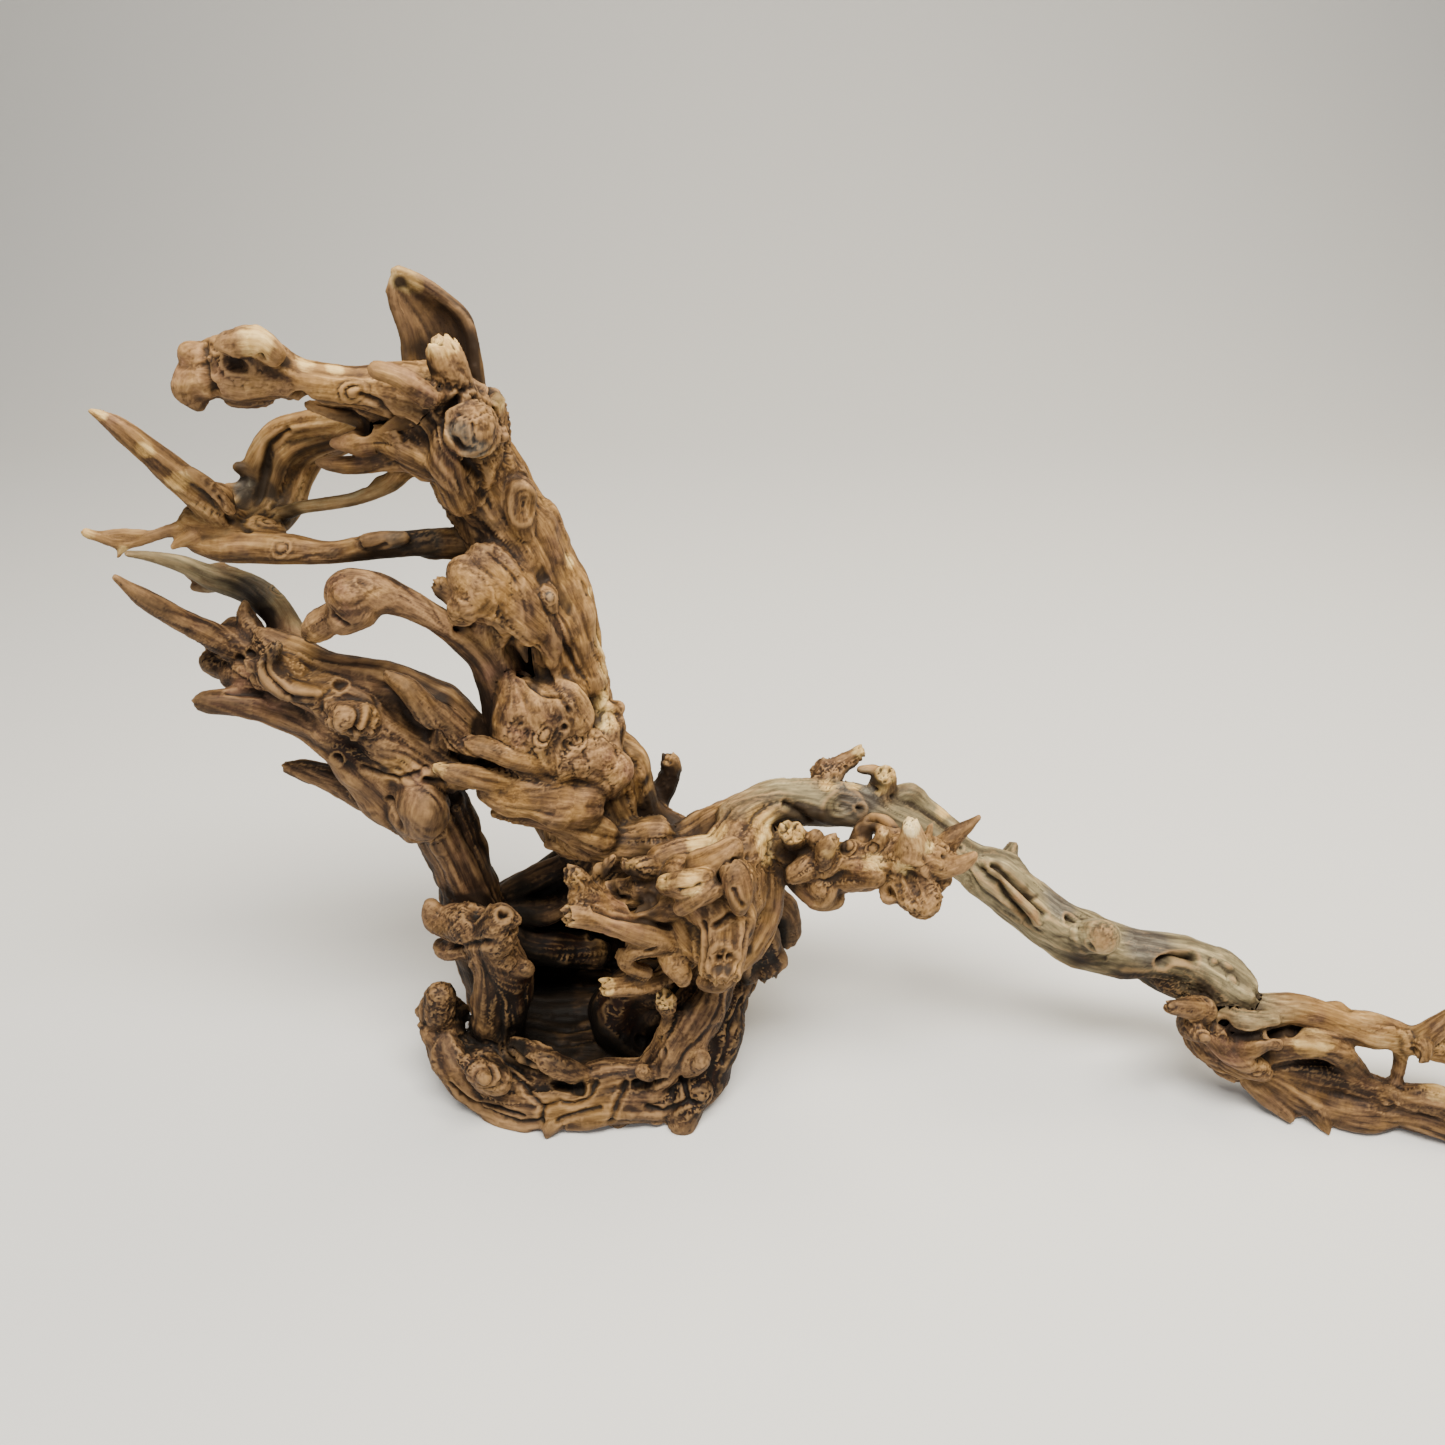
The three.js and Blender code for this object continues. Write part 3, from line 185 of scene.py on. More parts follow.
        "core": [(-31, -4, 285, 10), (-39, -6, 289, 8.5), (-48, -8, 291, 6.7), (-58, -10, 293, 5.8),
            (-67, -12, 295, 6.6), (-75, -14, 298, 9.5), (-84, -14, 298, 10.4), (-90, -14, 297, 8.2)],
        "knob": [(-27, -16, 291, 4.6), (-34, -20, 298, 3.6), (-40, -20, 300, 3)],
        "brow": [(-68, -22, 305, 3.8), (-71, -24, 309, 4.1), (-79, -24, 308, 3.7)],
        "brow_root": [(-76, -16, 300, 8), (-74, -20, 305, 5)],
        "tip_upper": [(-84, -14, 299, 8), (-88, -16, 301, 5.6), (-94, -16, 303, 4.2)],
        "tip_lower": [(-91, -16, 296, 6.8), (-96, -18, 296, 5.4), (-97, -18, 293, 4.7),
            (-95, -18, 289, 2.7)],
        "under": [(-39, -2, 278, 7.2), (-51, -2, 282, 5.4), (-60, -2, 283, 3.8), (-68, -4, 285, 2.1)],
        "arm_chin": [(-78, -14, 291, 4.6), (-86, -14, 290, 3.7)],
        "leaf_up": [(-46, -4, 274, 5.4), (-53, -8, 274, 4.5), (-61, -8, 274, 1.9)],
    },
    "curl": {
        "left_strand": [(-64, 14, 274, 5), (-78, 16, 272, 4.3), (-89, 18, 268, 4.6), (-97, 18, 259, 4.7),
            (-101, 17, 250, 4.8), (-107, 8, 243, 5)],
        "middle_strand": [(-64, 18, 269, 5.8), (-79, 20, 265, 6.2), (-88, 20, 260, 6.3), (-94, 19, 250, 6),
            (-98, 14, 243, 6), (-99, 7, 240, 5.6)],
        "right_strand": [(-68, 22, 265, 5.2), (-80, 24, 260, 5.5), (-86, 22, 251, 4.8), (-89, 17, 243, 4.6),
            (-91, 9, 240, 4)],
        "nub_upper": [(-98, 17, 254, 4), (-103, 14, 258, 2.3)],
        "nub_lower": [(-101, 15, 249, 4), (-107, 12, 252, 1.8)],
        "root": [(-44, 2, 278, 6), (-56, 10, 276, 6), (-66, 17, 270, 6)],
        "strut": [(-40, 2, 264, 5), (-44, 2, 262, 4.2), (-48, 0, 258, 3.5), (-59, 0, 253, 2.5),
            (-70, 2, 250, 2.5), (-81, 6, 247, 2.5), (-88, 8, 244, 2.8), (-94, 10, 242, 4)],
    },
    "cross_bar": {
        "bar": [(-20, 8, 234, 5), (-33, 4, 235, 5.5), (-42, 0, 237, 4.7), (-51, -2, 237, 4.4),
            (-60, -3, 236, 4.2), (-71, -4, 235, 4), (-84, -4, 236, 5), (-97, -4, 237, 5.8),
            (-107, -4, 237, 5.1), (-115, -4, 238, 3.3)],
        "junction": [(-91, 2, 239, 4.4), (-100, 2, 242, 5.8), (-109, 0, 244, 6.7), (-115, 0, 245, 6)],
        "horn_upper": [(-105, 2, 242, 5.2), (-107, -2, 252, 6.5), (-112, -6, 261, 5.2),
            (-118, -10, 272, 4.3), (-124, -14, 282, 3.3), (-129, -16, 287, 1.8)],
        "horn_left": [(-115, -2, 243, 4.3), (-122, -4, 243, 2.5), (-130, -6, 241, 2.2), (-137, -8, 240, 2.3),
            (-142, -10, 243, 2), (-146, -12, 246, 1.7)],
        "bar_lens": [(-45, -6, 241.5, 2.4), (-52, -7, 241, 3), (-58, -7, 240.5, 2.6)],
        "horn_up_ridge": [(-100, -6, 251, 2.7), (-103, -8, 260, 2.4), (-108, -8, 265, 1.9)],
        "horn_left_toe": [(-136, -8, 240, 1.8), (-139, -10, 236, 0.9)],
        "horn_left_b": [(-130, -6, 243, 1.5), (-139, -8, 244, 1.5), (-145, -12, 244, 1.1)],
        "bar_toe": [(-114, -6, 242, 2.5), (-121, -8, 239, 1.5)],
    },
    "side_arm": {
        "root": [(-54, -2, 148, 12), (-38, 4, 146, 12), (-18, 10, 144, 12)],
        "top": [(-34, -4, 159, 8.6), (-41, -6, 174, 8.7), (-52, -6, 182, 8), (-67, -6, 186, 7.7),
            (-81, -6, 191, 7), (-92, -6, 197, 7), (-99, -4, 200, 6.5)],
        "middle": [(-39, -6, 148, 10), (-52, -10, 161, 12), (-65, -12, 173, 11), (-78, -12, 183, 9.5),
            (-90, -12, 189, 8), (-95, -12, 198, 5.6)],
        "low_root": [(-54, -6, 128, 13.4), (-64, -10, 145, 13), (-74, -12, 161, 10.5), (-84, -12, 172, 8.3)],
        "back": [(-44, 6, 146, 12), (-58, 4, 160, 11), (-72, 2, 174, 9), (-86, 2, 186, 7.5),
            (-97, 4, 196, 6)],
        "hollow_fill": [(-42, -7, 158, 10), (-50, -8, 166, 9.5), (-60, -9, 175, 8.5)],
        "low_fill": [(-46, -12, 148, 9), (-54, -14, 152, 9), (-63, -15, 156, 8)],
        "web_mass": [(-92, -8, 192, 8.5), (-101, -7, 190, 8.5), (-109, -5, 188, 7.5), (-116, -3, 187, 5.5)],
        "web_low": [(-88, -10, 184, 7), (-98, -10, 183, 6.5), (-108, -9, 184, 5), (-114, -8, 184, 3)],
        "flap": [(-38, -14, 168, 7), (-43, -20, 182, 5), (-49, -20, 192, 4), (-55, -18, 195, 2.6)],
        "ball": [(-52, -16, 143, 11.4), (-54, -18, 137, 10.6), (-57, -14, 125, 6.5)],
        "eye": [(-65, -22, 180, 6), (-71, -24, 182, 6.4)],
        "fold": [(-91, -18, 207, 3.4), (-96, -19, 199, 4.2), (-90, -21, 192, 3.6), (-81, -20, 189, 3.2)],
        "fold_root": [(-90, -12, 194, 7), (-94, -16, 200, 4)],
        "stub": [(-100, -10, 186, 5), (-100, -18, 196, 3), (-101, -20, 203, 2.2)],
        "low_horn": [(-76, -11, 166, 8), (-84, -12, 172, 8.3), (-97, -12, 177, 6.6), (-109, -14, 182, 5.4),
            (-119, -16, 184, 4.6), (-124, -16, 184, 3.2)],
        "horn": [(-75, -8, 139, 8.8), (-87, -8, 144, 6), (-97, -6, 146, 5.2), (-105, -6, 148, 2.6)],
        "plate": [(-106, 2, 195, 6.2), (-114, 4, 199, 7), (-121, 4, 189, 6.7), (-123, -2, 191, 4.1)],
        "spike": [(-106, 0, 196, 6), (-114, -4, 200, 6), (-119, -8, 207, 4.8), (-125, -12, 215, 4),
            (-131, -16, 224, 3.1), (-136, -20, 234, 1.3)],
        "rear_limb": [(-95, 4, 197, 6.4), (-99, 10, 202, 5.6), (-106, 14, 209, 5.6), (-114, 16, 213, 5.5),
            (-123, 16, 216, 4.7), (-131, 14, 222, 3.5), (-139, 10, 227, 2.3), (-145, 6, 230, 1.6)],
        "rear_leaf": [(-117, 18, 215, 4.2), (-127, 20, 211, 3.1), (-133, 20, 210, 1.7)],
        "rear_leaf_b": [(-121, 20, 217, 3.1), (-132, 22, 214, 2.5), (-135, 22, 216, 1.7)],
        "limb_foot": [(-106, 0, 202, 4.6), (-108, 2, 209, 3.2), (-107, 2, 213, 1.9)],
    },
    "elbow": {
        "inner": [(-18, -2, 172, 7), (-20, -4, 184, 6.2), (-19, -4, 193, 6), (-18, -4, 201, 5.6),
            (-17, -3, 208, 5)],
        "inner_side": [(-12, -2, 178, 6), (-13, -2, 188, 6), (-13, -2, 198, 5.5), (-14, -3, 208, 5)],
        "inner_top": [(-20, -5, 197, 5.2), (-23, -6, 205, 4.6), (-22, -7, 212, 4)],
        "limb": [(-19, -2, 164, 8.6), (-22, -4, 181, 6.7), (-24, -6, 195, 6.5), (-30, -8, 205, 6),
            (-38, -12, 215, 4.8), (-47, -14, 222, 5.8), (-54, -16, 226, 7.6), (-62, -18, 227, 9)],
        "chin": [(-60, -18, 222, 8), (-66, -18, 218, 6.3)],
        "ball": [(-66, -16, 220, 5), (-76, -14, 213, 5.7), (-80, -12, 209, 3.9)],
    },
    "prop": {
        "shaft": [(-53, -4, 129, 13), (-48, -4, 112, 11.6), (-45, -4, 97, 11), (-44, -2, 80, 12),
            (-44, 0, 63, 13), (-43, 0, 42, 12.8), (-42, 2, 12, 12.7)],
    },
    "pillar": {
        "shaft": [(-40, -20, 3, 13.7), (-36, -22, 21, 12.6), (-32, -24, 44, 12), (-31, -24, 64, 11.4),
            (-35, -24, 77, 11), (-41, -24, 84, 9.4)],
        "head": [(-30, -28, 84, 10), (-25, -30, 93, 6.7), (-20, -30, 92, 2.8)],
        "chin": [(-39, -24, 73, 6.8), (-52, -22, 68, 5), (-55, -20, 68, 3.4)],
        "cheek": [(-25, -28, 65, 5.6), (-19, -28, 63, 3.8)],
        "ear": [(-46, -20, 80, 8.4), (-55, -18, 82, 6), (-56, -18, 88, 3.4)],
    },
    "long_branch": {
        "upper": [(66, -2, 119, 9), (79, 4, 122, 8.8), (92, 7, 121, 9.2), (106, 8, 119, 9),
            (122, 8, 115, 8.5), (137, 6, 109, 8.2), (152, 4, 99, 8.6), (164, 2, 92, 9.6), (176, -1, 87, 11)],
        "lower": [(168, -2, 92, 11), (182, -5, 81, 11.2), (196, -8, 70, 11.5), (209, -11, 64, 12),
            (224, -13, 59, 11), (238, -15, 59, 9.5), (252, -17, 58, 9.8), (263, -20, 54, 11.2),
            (272, -24, 49, 10.6)],
        "ridge": [(126, 12, 116, 5), (136, 13, 121, 4.8), (141, 12, 116, 4.5), (149, 9, 111, 4),
            (156, 7, 106, 3.6)],
        "knot": [(208, -18, 72, 8), (213, -24, 78, 6.2)],
        "back_nub": [(178, 6, 88, 6), (182, 14, 92, 3.4)],
        "under_lobe": [(232, -14, 54, 7), (238, -14, 50, 6), (247, -20, 47, 6.7), (257, -23, 46, 6.4)],
        "end_fill": [(258, -20, 50, 9), (266, -25, 45, 8.5), (274, -28, 42, 7.5)],
        "stub": [(99, 12, 122, 6), (106, 19, 130, 5), (112, 21, 133, 4), (116, 21, 137, 3.1)],
        "knob": [(124, 11, 120, 6), (125, 11, 129, 5), (125, 9, 133, 4.2)],
        "top_stub_b": [(98, 18, 128, 3.3), (101, 19, 134, 1.9)],
        "top_knob_lip": [(115, 14, 132, 1.8), (121, 14, 132, 2.3)],
    },
    "branch_knobs": {
        "stem": [(80, -6, 110, 8), (84, -10, 108, 7.5), (92, -17, 109, 8.2), (102, -21, 109, 8),
            (112, -23, 111, 7.5), (121, -25, 114, 7)],
        "lump_low": [(98, -28, 108, 6.3), (99, -29, 103, 4.5), (95, -29, 100, 2.8)],
        "cone": [(108, -27, 114, 7), (114, -34, 119, 5), (117, -37, 120, 3.4), (119, -38, 122, 1.6)],
        "core": [(124, -26, 119, 7.5), (130, -30, 125, 8.5), (136, -32, 125, 7.8), (142, -32, 123, 5.7)],
        "mass": [(86, -14, 112, 8), (96, -20, 114, 8.5), (106, -24, 115, 8.5), (116, -26, 117, 8),
            (126, -28, 120, 8)],
        "chin": [(90, -22, 106, 7), (97, -26, 101, 6), (103, -26, 100, 5)],
        "big_socket": [(130, -32, 118, 8), (132, -36, 114, 8.5), (134, -40, 112, 7.2)],
        "dark_lobe": [(124, -32, 114, 6), (122, -38, 112, 3.6)],
        "socket": [(110, -20, 118, 5), (107, -26, 126, 3)],
        "socket_right": [(118, -22, 120, 4.5), (116, -27, 125, 3)],
        "cut_knob": [(89, -14, 116, 5), (86, -23, 130, 4.9)],
        "ball": [(96, -18, 117, 5), (95, -22, 127, 3.4)],
        "stub": [(99, -26, 114, 5), (98, -30, 129, 3.4), (101, -32, 134, 2.4)],
        "pale_peg": [(118, -24, 120, 4), (119, -28, 135, 2.2)],
        "loop": [(112, -16, 112, 6), (115, -11, 123, 3.6), (121, -13, 126, 3.4), (128, -24, 122, 5)],
        "top": [(130, -31, 124, 7), (129, -34, 134, 5.5), (127, -35, 144, 3.1)],
        "lips": [(140, -34, 122, 4.5), (147, -37, 127, 3.4), (151, -37, 131, 2)],
        "spike": [(140, -28, 124, 5), (146, -26, 131, 3.8), (150, -26, 135, 2.6), (154, -26, 140, 1.3)],
        "under_lobe": [(112, -20, 107, 5), (113, -12, 99, 5), (117, -9, 93, 3.6)],
        "knot_tip": [(132, -38, 109, 4.3), (133, -40, 105, 1.4)],
        "lips_low": [(142, -34, 117, 3.7), (140, -36, 114, 2.7)],
        "lump_a": [(91, -27, 116, 5.3), (87, -28, 114, 4.3)],
        "thorn": [(135, -30, 133, 2.1), (136, -30, 140, 0.8)],
    },
    "lower_tip": {
        "root": [(258, -24, 43, 9), (261, -28, 35, 9.5), (266, -32, 27, 9.7), (276, -35, 21, 9.4),
            (286, -38, 16, 8.4)],
        "knob": [(254, -33, 40, 7), (251, -39, 40, 6.1), (253, -46, 43, 3)],
        "lobe_upper": [(268, -38, 32, 6), (272, -44, 35, 5), (278, -46, 41, 3.7), (283, -46, 39, 2.7)],
        "lobe_knobs": [(262, -38, 36, 6), (268, -44, 31, 5), (273, -48, 29, 3.4)],
        "lobe_lower": [(271, -40, 25, 6.5), (278, -46, 25, 5.3), (282, -46, 22, 4)],
        "hollow_back": [(279, -34, 26, 7), (290, -37, 22, 7.5), (302, -41, 19, 7.5), (315, -44, 17, 7),
            (329, -48, 14, 6), (342, -52, 12, 5)],
        "finger": [(290, -42, 14, 6.5), (296, -46, 6, 5.2), (299, -49, 2, 4)],
        "limb": [(287, -40, 14, 8.7), (297, -45, 10, 8.2), (308, -48, 7, 7.8), (318, -51, 6, 7.2),
            (329, -52, 6, 6.7), (340, -53, 6, 6.7), (349, -56, 6, 7.2), (357, -60, 6, 6.6),
            (368, -62, 5, 5.6), (380, -61, 4, 4.4), (390, -58, 3, 3)],
        "edge": [(315, -54, 4, 4.5), (324, -58, 4, 4.1), (335, -57, 4, 3.4)],
        "pale_ridge": [(336, -51, 12, 5), (347, -55, 18, 6), (356, -58, 14, 5.5), (366, -60, 9, 4)],
        "lobe_left": [(255, -34, 46, 6), (243, -41, 55, 4.1), (236, -43, 58, 2.8)],
        "spike_left": [(281, -43, 15, 5.5), (288, -46, 8, 5.4), (293, -50, 4, 4.3), (295, -54, 3, 2.2)],
        # gap_back fills the gap from behind and is coloured fully dark as painted shade
        "gap_back": [(276, -28, 30, 6), (288, -29, 35, 5), (298, -31, 36, 5), (308, -33, 34, 5),
            (316, -35, 28, 4.5)],
        "yellow_limb": [(286, -38, 24, 6.5), (292, -40, 31, 6.4), (300, -42, 35, 6), (309, -44, 33.5, 6),
            (317, -44, 26, 5), (325, -45, 18, 3.6), (331, -50, 13, 3.6)],
        "low_spike_b": [(306, -52, 6, 5.2), (308, -56, 3, 3.4), (309, -60, 1, 1)],
    },
    "upper_tip": {
        "limb": [(264, -26, 38, 8.3), (274, -28, 37, 8.3), (284, -30, 42, 7.5), (295, -32, 45, 6.8),
            (306, -34, 43, 6.4), (315, -36, 40, 6.6), (322, -38, 39, 7.6), (328, -39, 39, 7.3),
            (335, -40, 38, 6.1)],
        "belly": [(265, -34, 42, 5), (271, -40, 45, 5), (282, -38, 44, 4.2)],
        "lumps": [(343, -42, 35, 5.6), (354, -44, 34, 6.2), (364, -45, 31, 5.2), (372, -44, 30, 3.4)],
        "clump": [(334, -41, 37, 6.1), (340, -43, 38, 6.4), (345, -43, 45, 5), (353, -42, 53, 4.4),
            (360, -40, 60, 3)],
        "stub": [(340, -44, 39, 5), (340, -49, 41, 3.8), (339, -52, 38, 2.8)],
        "strut": [(336, -42, 35, 3.6), (338, -44, 25, 3), (337, -47, 18, 2.8), (334, -50, 17, 2.2)],
    },
}

# Thin walls of wood between two limbs of a piece: the limbs, the number of strands in the wall,
# how far it is set back in y at its middle and how thick each strand is, in millimetres
WEBS = {
    "crown_fin": [("left_edge", "right_edge", 7, 4.5, 2.1, 0)],
    "curl": [("left_strand", "right_strand", 5, 0.4, 4.2, 0)],
    "root_burl": [("horn_a", "horn_b", 5, 3.5, 3.6, 0.2)],
    "root_bowl": [("floor_front", "floor_middle", 3, 0, 9, 0), ("floor_middle", "floor_back", 4, 0, 9, 0)],
}

# What the wood of each piece is like, from 0 to 1: how deeply it is worn into ridges, how much
# its grain swirls, how silver-grey and how tan it has become, and how dark it is drawn: darker damp wood
# together with painted shade where the piece lies in shade
TRAITS = ("worn", "swirl", "grey", "tan", "dark_and_shade")
NATURE = {
    "root_burl": (0.8, 0.45, 0.0, 0.45, 0.1),
    "root_bowl": (0.9, 0.35, 0.0, 0.1, 0.45),
    "trunk": (1.0, 0.25, 0.0, 0.4, 0.0),
    "crown_fin": (0.4, 0.25, 0.1, 0.2, 0.5),
    "crown_arm": (0.9, 0.4, 0.0, 0.4, 0.0),
    "curl": (0.4, 0.12, 0.3, 0.7, 0.0),
    "cross_bar": (0.5, 0.2, 0.25, 0.5, 0.1),
    "side_arm": (0.95, 0.4, 0.0, 0.1, 0.38),
    "elbow": (0.4, 0.35, 0.0, 0.2, 0.0),
    "prop": (0.75, 0.0, 0.0, 0.0, 0.35),
    "pillar": (0.7, 0.5, 0.0, 0.2, 0.42),
    "long_branch": (0.6, 0.15, 0.9, 0.35, 0.0),
    "branch_knobs": (0.95, 0.5, 0.25, 0.45, 0.1),
    "lower_tip": (1.0, 0.6, 0.15, 0.3, 0.35),
    "upper_tip": (0.6, 0.4, 0.3, 0.6, 0.0),
}
LIMB_NATURE = {
    "trunk": {"outer_strand": (1.0, 0.1, 0.35, 1.0, 0.0)},
    "side_arm": {"rear_limb": (0.5, 0.15, 0.85, 0.1, 0.3), "rear_leaf": (0.5, 0.1, 0.5, 0.1, 0.6)},
    "curl": {"strut": (0.3, 0.1, 0.55, 1.0, 0.0)},
    "cross_bar": {"bar_lens": (0.8, 0.3, 0.2, 0.1, 0.4)},
    # hollow_back and gap_back are coloured fully dark: painted shade behind the gap
    "lower_tip": {"hollow_back": (0.8, 0.3, 0.1, 0.0, 1.0), "gap_back": (0.8, 0.4, 0.0, 0.0, 1.0)},
    "upper_tip": {"belly": (0.6, 0.4, 0.7, 0.3, 0.0)},
    # The back of the bowl and the inner wall are darkened as painted shade in the cave
    "root_bowl": {"back_left": (0.9, 0.5, 0.0, 0.0, 0.9), "back_middle": (0.9, 0.5, 0.0, 0.0, 0.9),
                  "wall_swirl": (0.6, 0.6, 0.0, 0.3, 0.7), "wall_swirl_fill": (0.6, 0.6, 0.0, 0.3, 0.7)},
    "long_branch": {"stub": (0.8, 0.4, 0.1, 0.3, 0.3), "top_stub_b": (0.8, 0.4, 0.1, 0.2, 0.5),
                    "knob": (0.7, 0.4, 0.2, 0.6, 0.0), "top_knob_lip": (0.6, 0.4, 0.2, 0.8, 0.0)},
}

# Limbs that end in an old break, and how pale the bare wood there is
BROKEN = {
    "root_burl": {"horn_a": 0.5, "horn_b": 0.6, "horn_c": 0.8, "pale_lump": 0.6, "snout": 0.3},
    "root_bowl": {"candle": 0.9, "back_lobe": 0.05, "lobes": 0.05},
    "trunk": {"stub": 0.9, "pale_spike": 1.0, "burl_tip": 0.3, "back_stub": 0.3},
    "cross_bar": {"horn_upper": 0.8, "horn_left": 0.9, "bar_lens": 0.1},
    "side_arm": {"low_horn": 0.3, "horn": 0.1},
    "long_branch": {"stub": 0.9, "knob": 1.0, "top_stub_b": 0.6},
    "branch_knobs": {"cut_knob": 0.9, "stub": 0.8, "top": 0.5, "pale_peg": 0.6, "cone": 0.4},
    "lower_tip": {"lobe_left": 0.4, "yellow_limb": 0.8, "pale_ridge": 1.0},
    "upper_tip": {"clump": 0.7, "lumps": 0.6},
}

# The photograph's frame and the camera that took it: how wide it is and how far the picture lies
# from the eye, in pixels, where the eye was, in millimetres, and how far it looked down
PHOTO = 1445
FOCAL = 1093
EYE = Vector((60, -339, 391))
TILT = math.radians(33.8)

# How finely the skin is made, in millimetres
VOXEL = 0.78
PATH_STEP = 2.5
CELL = 2.5
THINNEST = 0.8
SKIN_ROUNDS = 7

# How far past the tip of a limb its end rings lie, and how wide they are, in radii of the tip
ROUND_END = ((0.45, 0.88), (0.75, 0.6), (0.9, 0.2))

# Limbs thicker than this carry twisted sinews, and a web's strands have this many stations
SINEW_RADIUS = 8
SINEWS = 6
WEB_STATIONS = 24

# The random patterns are read from blocks with this many values a side, each with its own seed
LATTICE = 64
SEEDS = {"lobes": 1, "ridges": 2, "fibres": 3, "threads": 4, "shelter": 5, "knots": 3, "crack_edge": 14,
         "splinter": 15, "fine_splinter": 16, "rough": 16, "lumps": 17, "small_lumps": 18, "eddies": 30}

# Stands in for the distance to a limb where none is near, in millimetres
FAR = 99
# More cells than the wood is long, so that each cell gets a number of its own
MOST_CELLS = 4096


def unit(rows, least=0.0):
    """The same ways, each made one long."""
    return rows / (np.linalg.norm(rows, axis=-1, keepdims=True) + least)


def pulled(items, name, width, kind=np.float32):
    """The values of a property of many items as one array, with a row for each item."""
    values = np.empty(len(items) * width, kind)
    items.foreach_get(name, values)
    return values.reshape(-1, width)


def baked(body):
    """The mesh of an object after its modifiers."""
    return bpy.data.meshes.new_from_object(body.evaluated_get(bpy.context.evaluated_depsgraph_get()))


def smooth_path(stations):
    """Points and radii down a limb, close together, through its stations."""
    rows = np.array(stations, float)
    rows = np.vstack([2 * rows[0] - rows[1], rows, 2 * rows[-1] - rows[-2]])
    path = []
    for a, b, c, d in zip(rows, rows[1:], rows[2:], rows[3:]):
        count = max(2, int(np.linalg.norm(c[:3] - b[:3]) / PATH_STEP))
        t = np.arange(count)[:, None] / count
        path.append(0.5 * (2 * b + (c - a) * t + (2 * a - 5 * b + 4 * c - d) * t**2
                           + (3 * b - a - 3 * c + d) * t**3))
    path = np.vstack(path + [rows[-2:-1]])
    path[:, 3] = np.maximum(path[:, 3], THINNEST)
    return path


def rounded(path):
    """The same path with a round end at both of its tips."""
    def cap(end, inner):
        way = unit(end[:3] - inner[:3], 1e-9)
        return np.array([np.append(end[:3] + way * out * end[3], end[3] * wide) for out, wide in ROUND_END])
    return np.vstack([cap(path[0], path[1])[::-1], path, cap(path[-1], path[-2])])


def strands(path, count, spread, share, seed):
    """Twisted sinews round a thick limb, so that its skin is fluted."""
    draw = np.random.default_rng(seed)
    way = unit(np.gradient(path[:, :3], axis=0))
    side = unit(np.cross(way, (0.3, 1, 0.2)))
    other = np.cross(way, side)
    s = np.linspace(0, 1, len(path))

    def wave(slowest, fastest):
        return np.sin(2 * math.pi * s * draw.uniform(slowest, fastest) + draw.uniform(0, 6))

    made = []
    for i in range(count):
        turn = 2 * math.pi * i / count + draw.normal(0, 0.25)
        bends = draw.normal(0, 0.35) * wave(0.6, 1.6)
        angle = turn + draw.normal(0.3, 0.5) * s + bends
        radius = path[:, 3] * share * (1 + 0.22 * wave(1, 3))
        round_it = side * np.cos(angle)[:, None] + other * np.sin(angle)[:, None]
        middle = path[:, :3] + round_it * (path[:, 3] * spread)[:, None]
        made.append(np.column_stack([middle, radius]))
    return made


def web(left, right, count, set_back, thick, ragged):
    """Strands side by side from one limb to another, that make a thin hollowed wall.

    A ragged one has strands that stop at uneven places before its end.
    """
    s = np.linspace(0, 1, WEB_STATIONS)
    edges = []
    for row in (left, right):
        spot = s * (len(row) - 1)
        edges.append(np.column_stack([np.interp(spot, np.arange(len(row)), column) for column in row.T]))
    made = []
    for i in range(1, count + 1):
        share = i / (count + 1)
        row = edges[0] * (1 - share) + edges[1] * share
        row[:, 1] += set_back * 4 * share * (1 - share) * np.sin(math.pi * (0.15 + 0.85 * s))
        row[:, 3] = thick
        made.append(row[:len(s) - int(len(s) * ragged * abs(math.sin(2.2 * i)))])
    return made


def tubes(name, paths):
    """One mesh of closed round tubes, in metres."""
    curve = bpy.data.curves.new(name, "CURVE")
    curve.dimensions = "3D"
    curve.bevel_depth = 1
    curve.bevel_resolution = 3
    curve.use_fill_caps = True
    for path in paths:
        spline = curve.splines.new("POLY")
        spline.points.add(len(path) - 1)
        places = np.column_stack([path[:, :3] * MM, np.ones(len(path))])
        spline.points.foreach_set("co", places.astype(np.float32).ravel())
        spline.points.foreach_set("radius", (path[:, 3] * MM).astype(np.float32))
    wire = bpy.data.objects.new(name, curve)
    bpy.context.collection.objects.link(wire)
    mesh = baked(wire)
    bpy.data.objects.remove(wire)
    body = bpy.data.objects.new(name, mesh)
    bpy.context.collection.objects.link(body)
    return body


def melted(body, voxel):
    """The tubes fused into one closed skin, without the single cells that stay open inside it."""
    remesh = body.modifiers.new("fuse", "REMESH")
    remesh.mode = "VOXEL"
    remesh.voxel_size = voxel * MM
    mesh = baked(body)
    body.modifiers.clear()
    body.data = mesh
    bm = bmesh.new()
    bm.from_mesh(mesh)
    corners = [v for v in bm.verts if len(v.link_edges) == 3]
    inner = [v for v in corners if all(len(e.other_vert(v).link_edges) == 3 for e in v.link_edges)]
    bmesh.ops.delete(bm, geom=inner, context="VERTS")
    bm.to_mesh(mesh)
    bm.free()
    return body


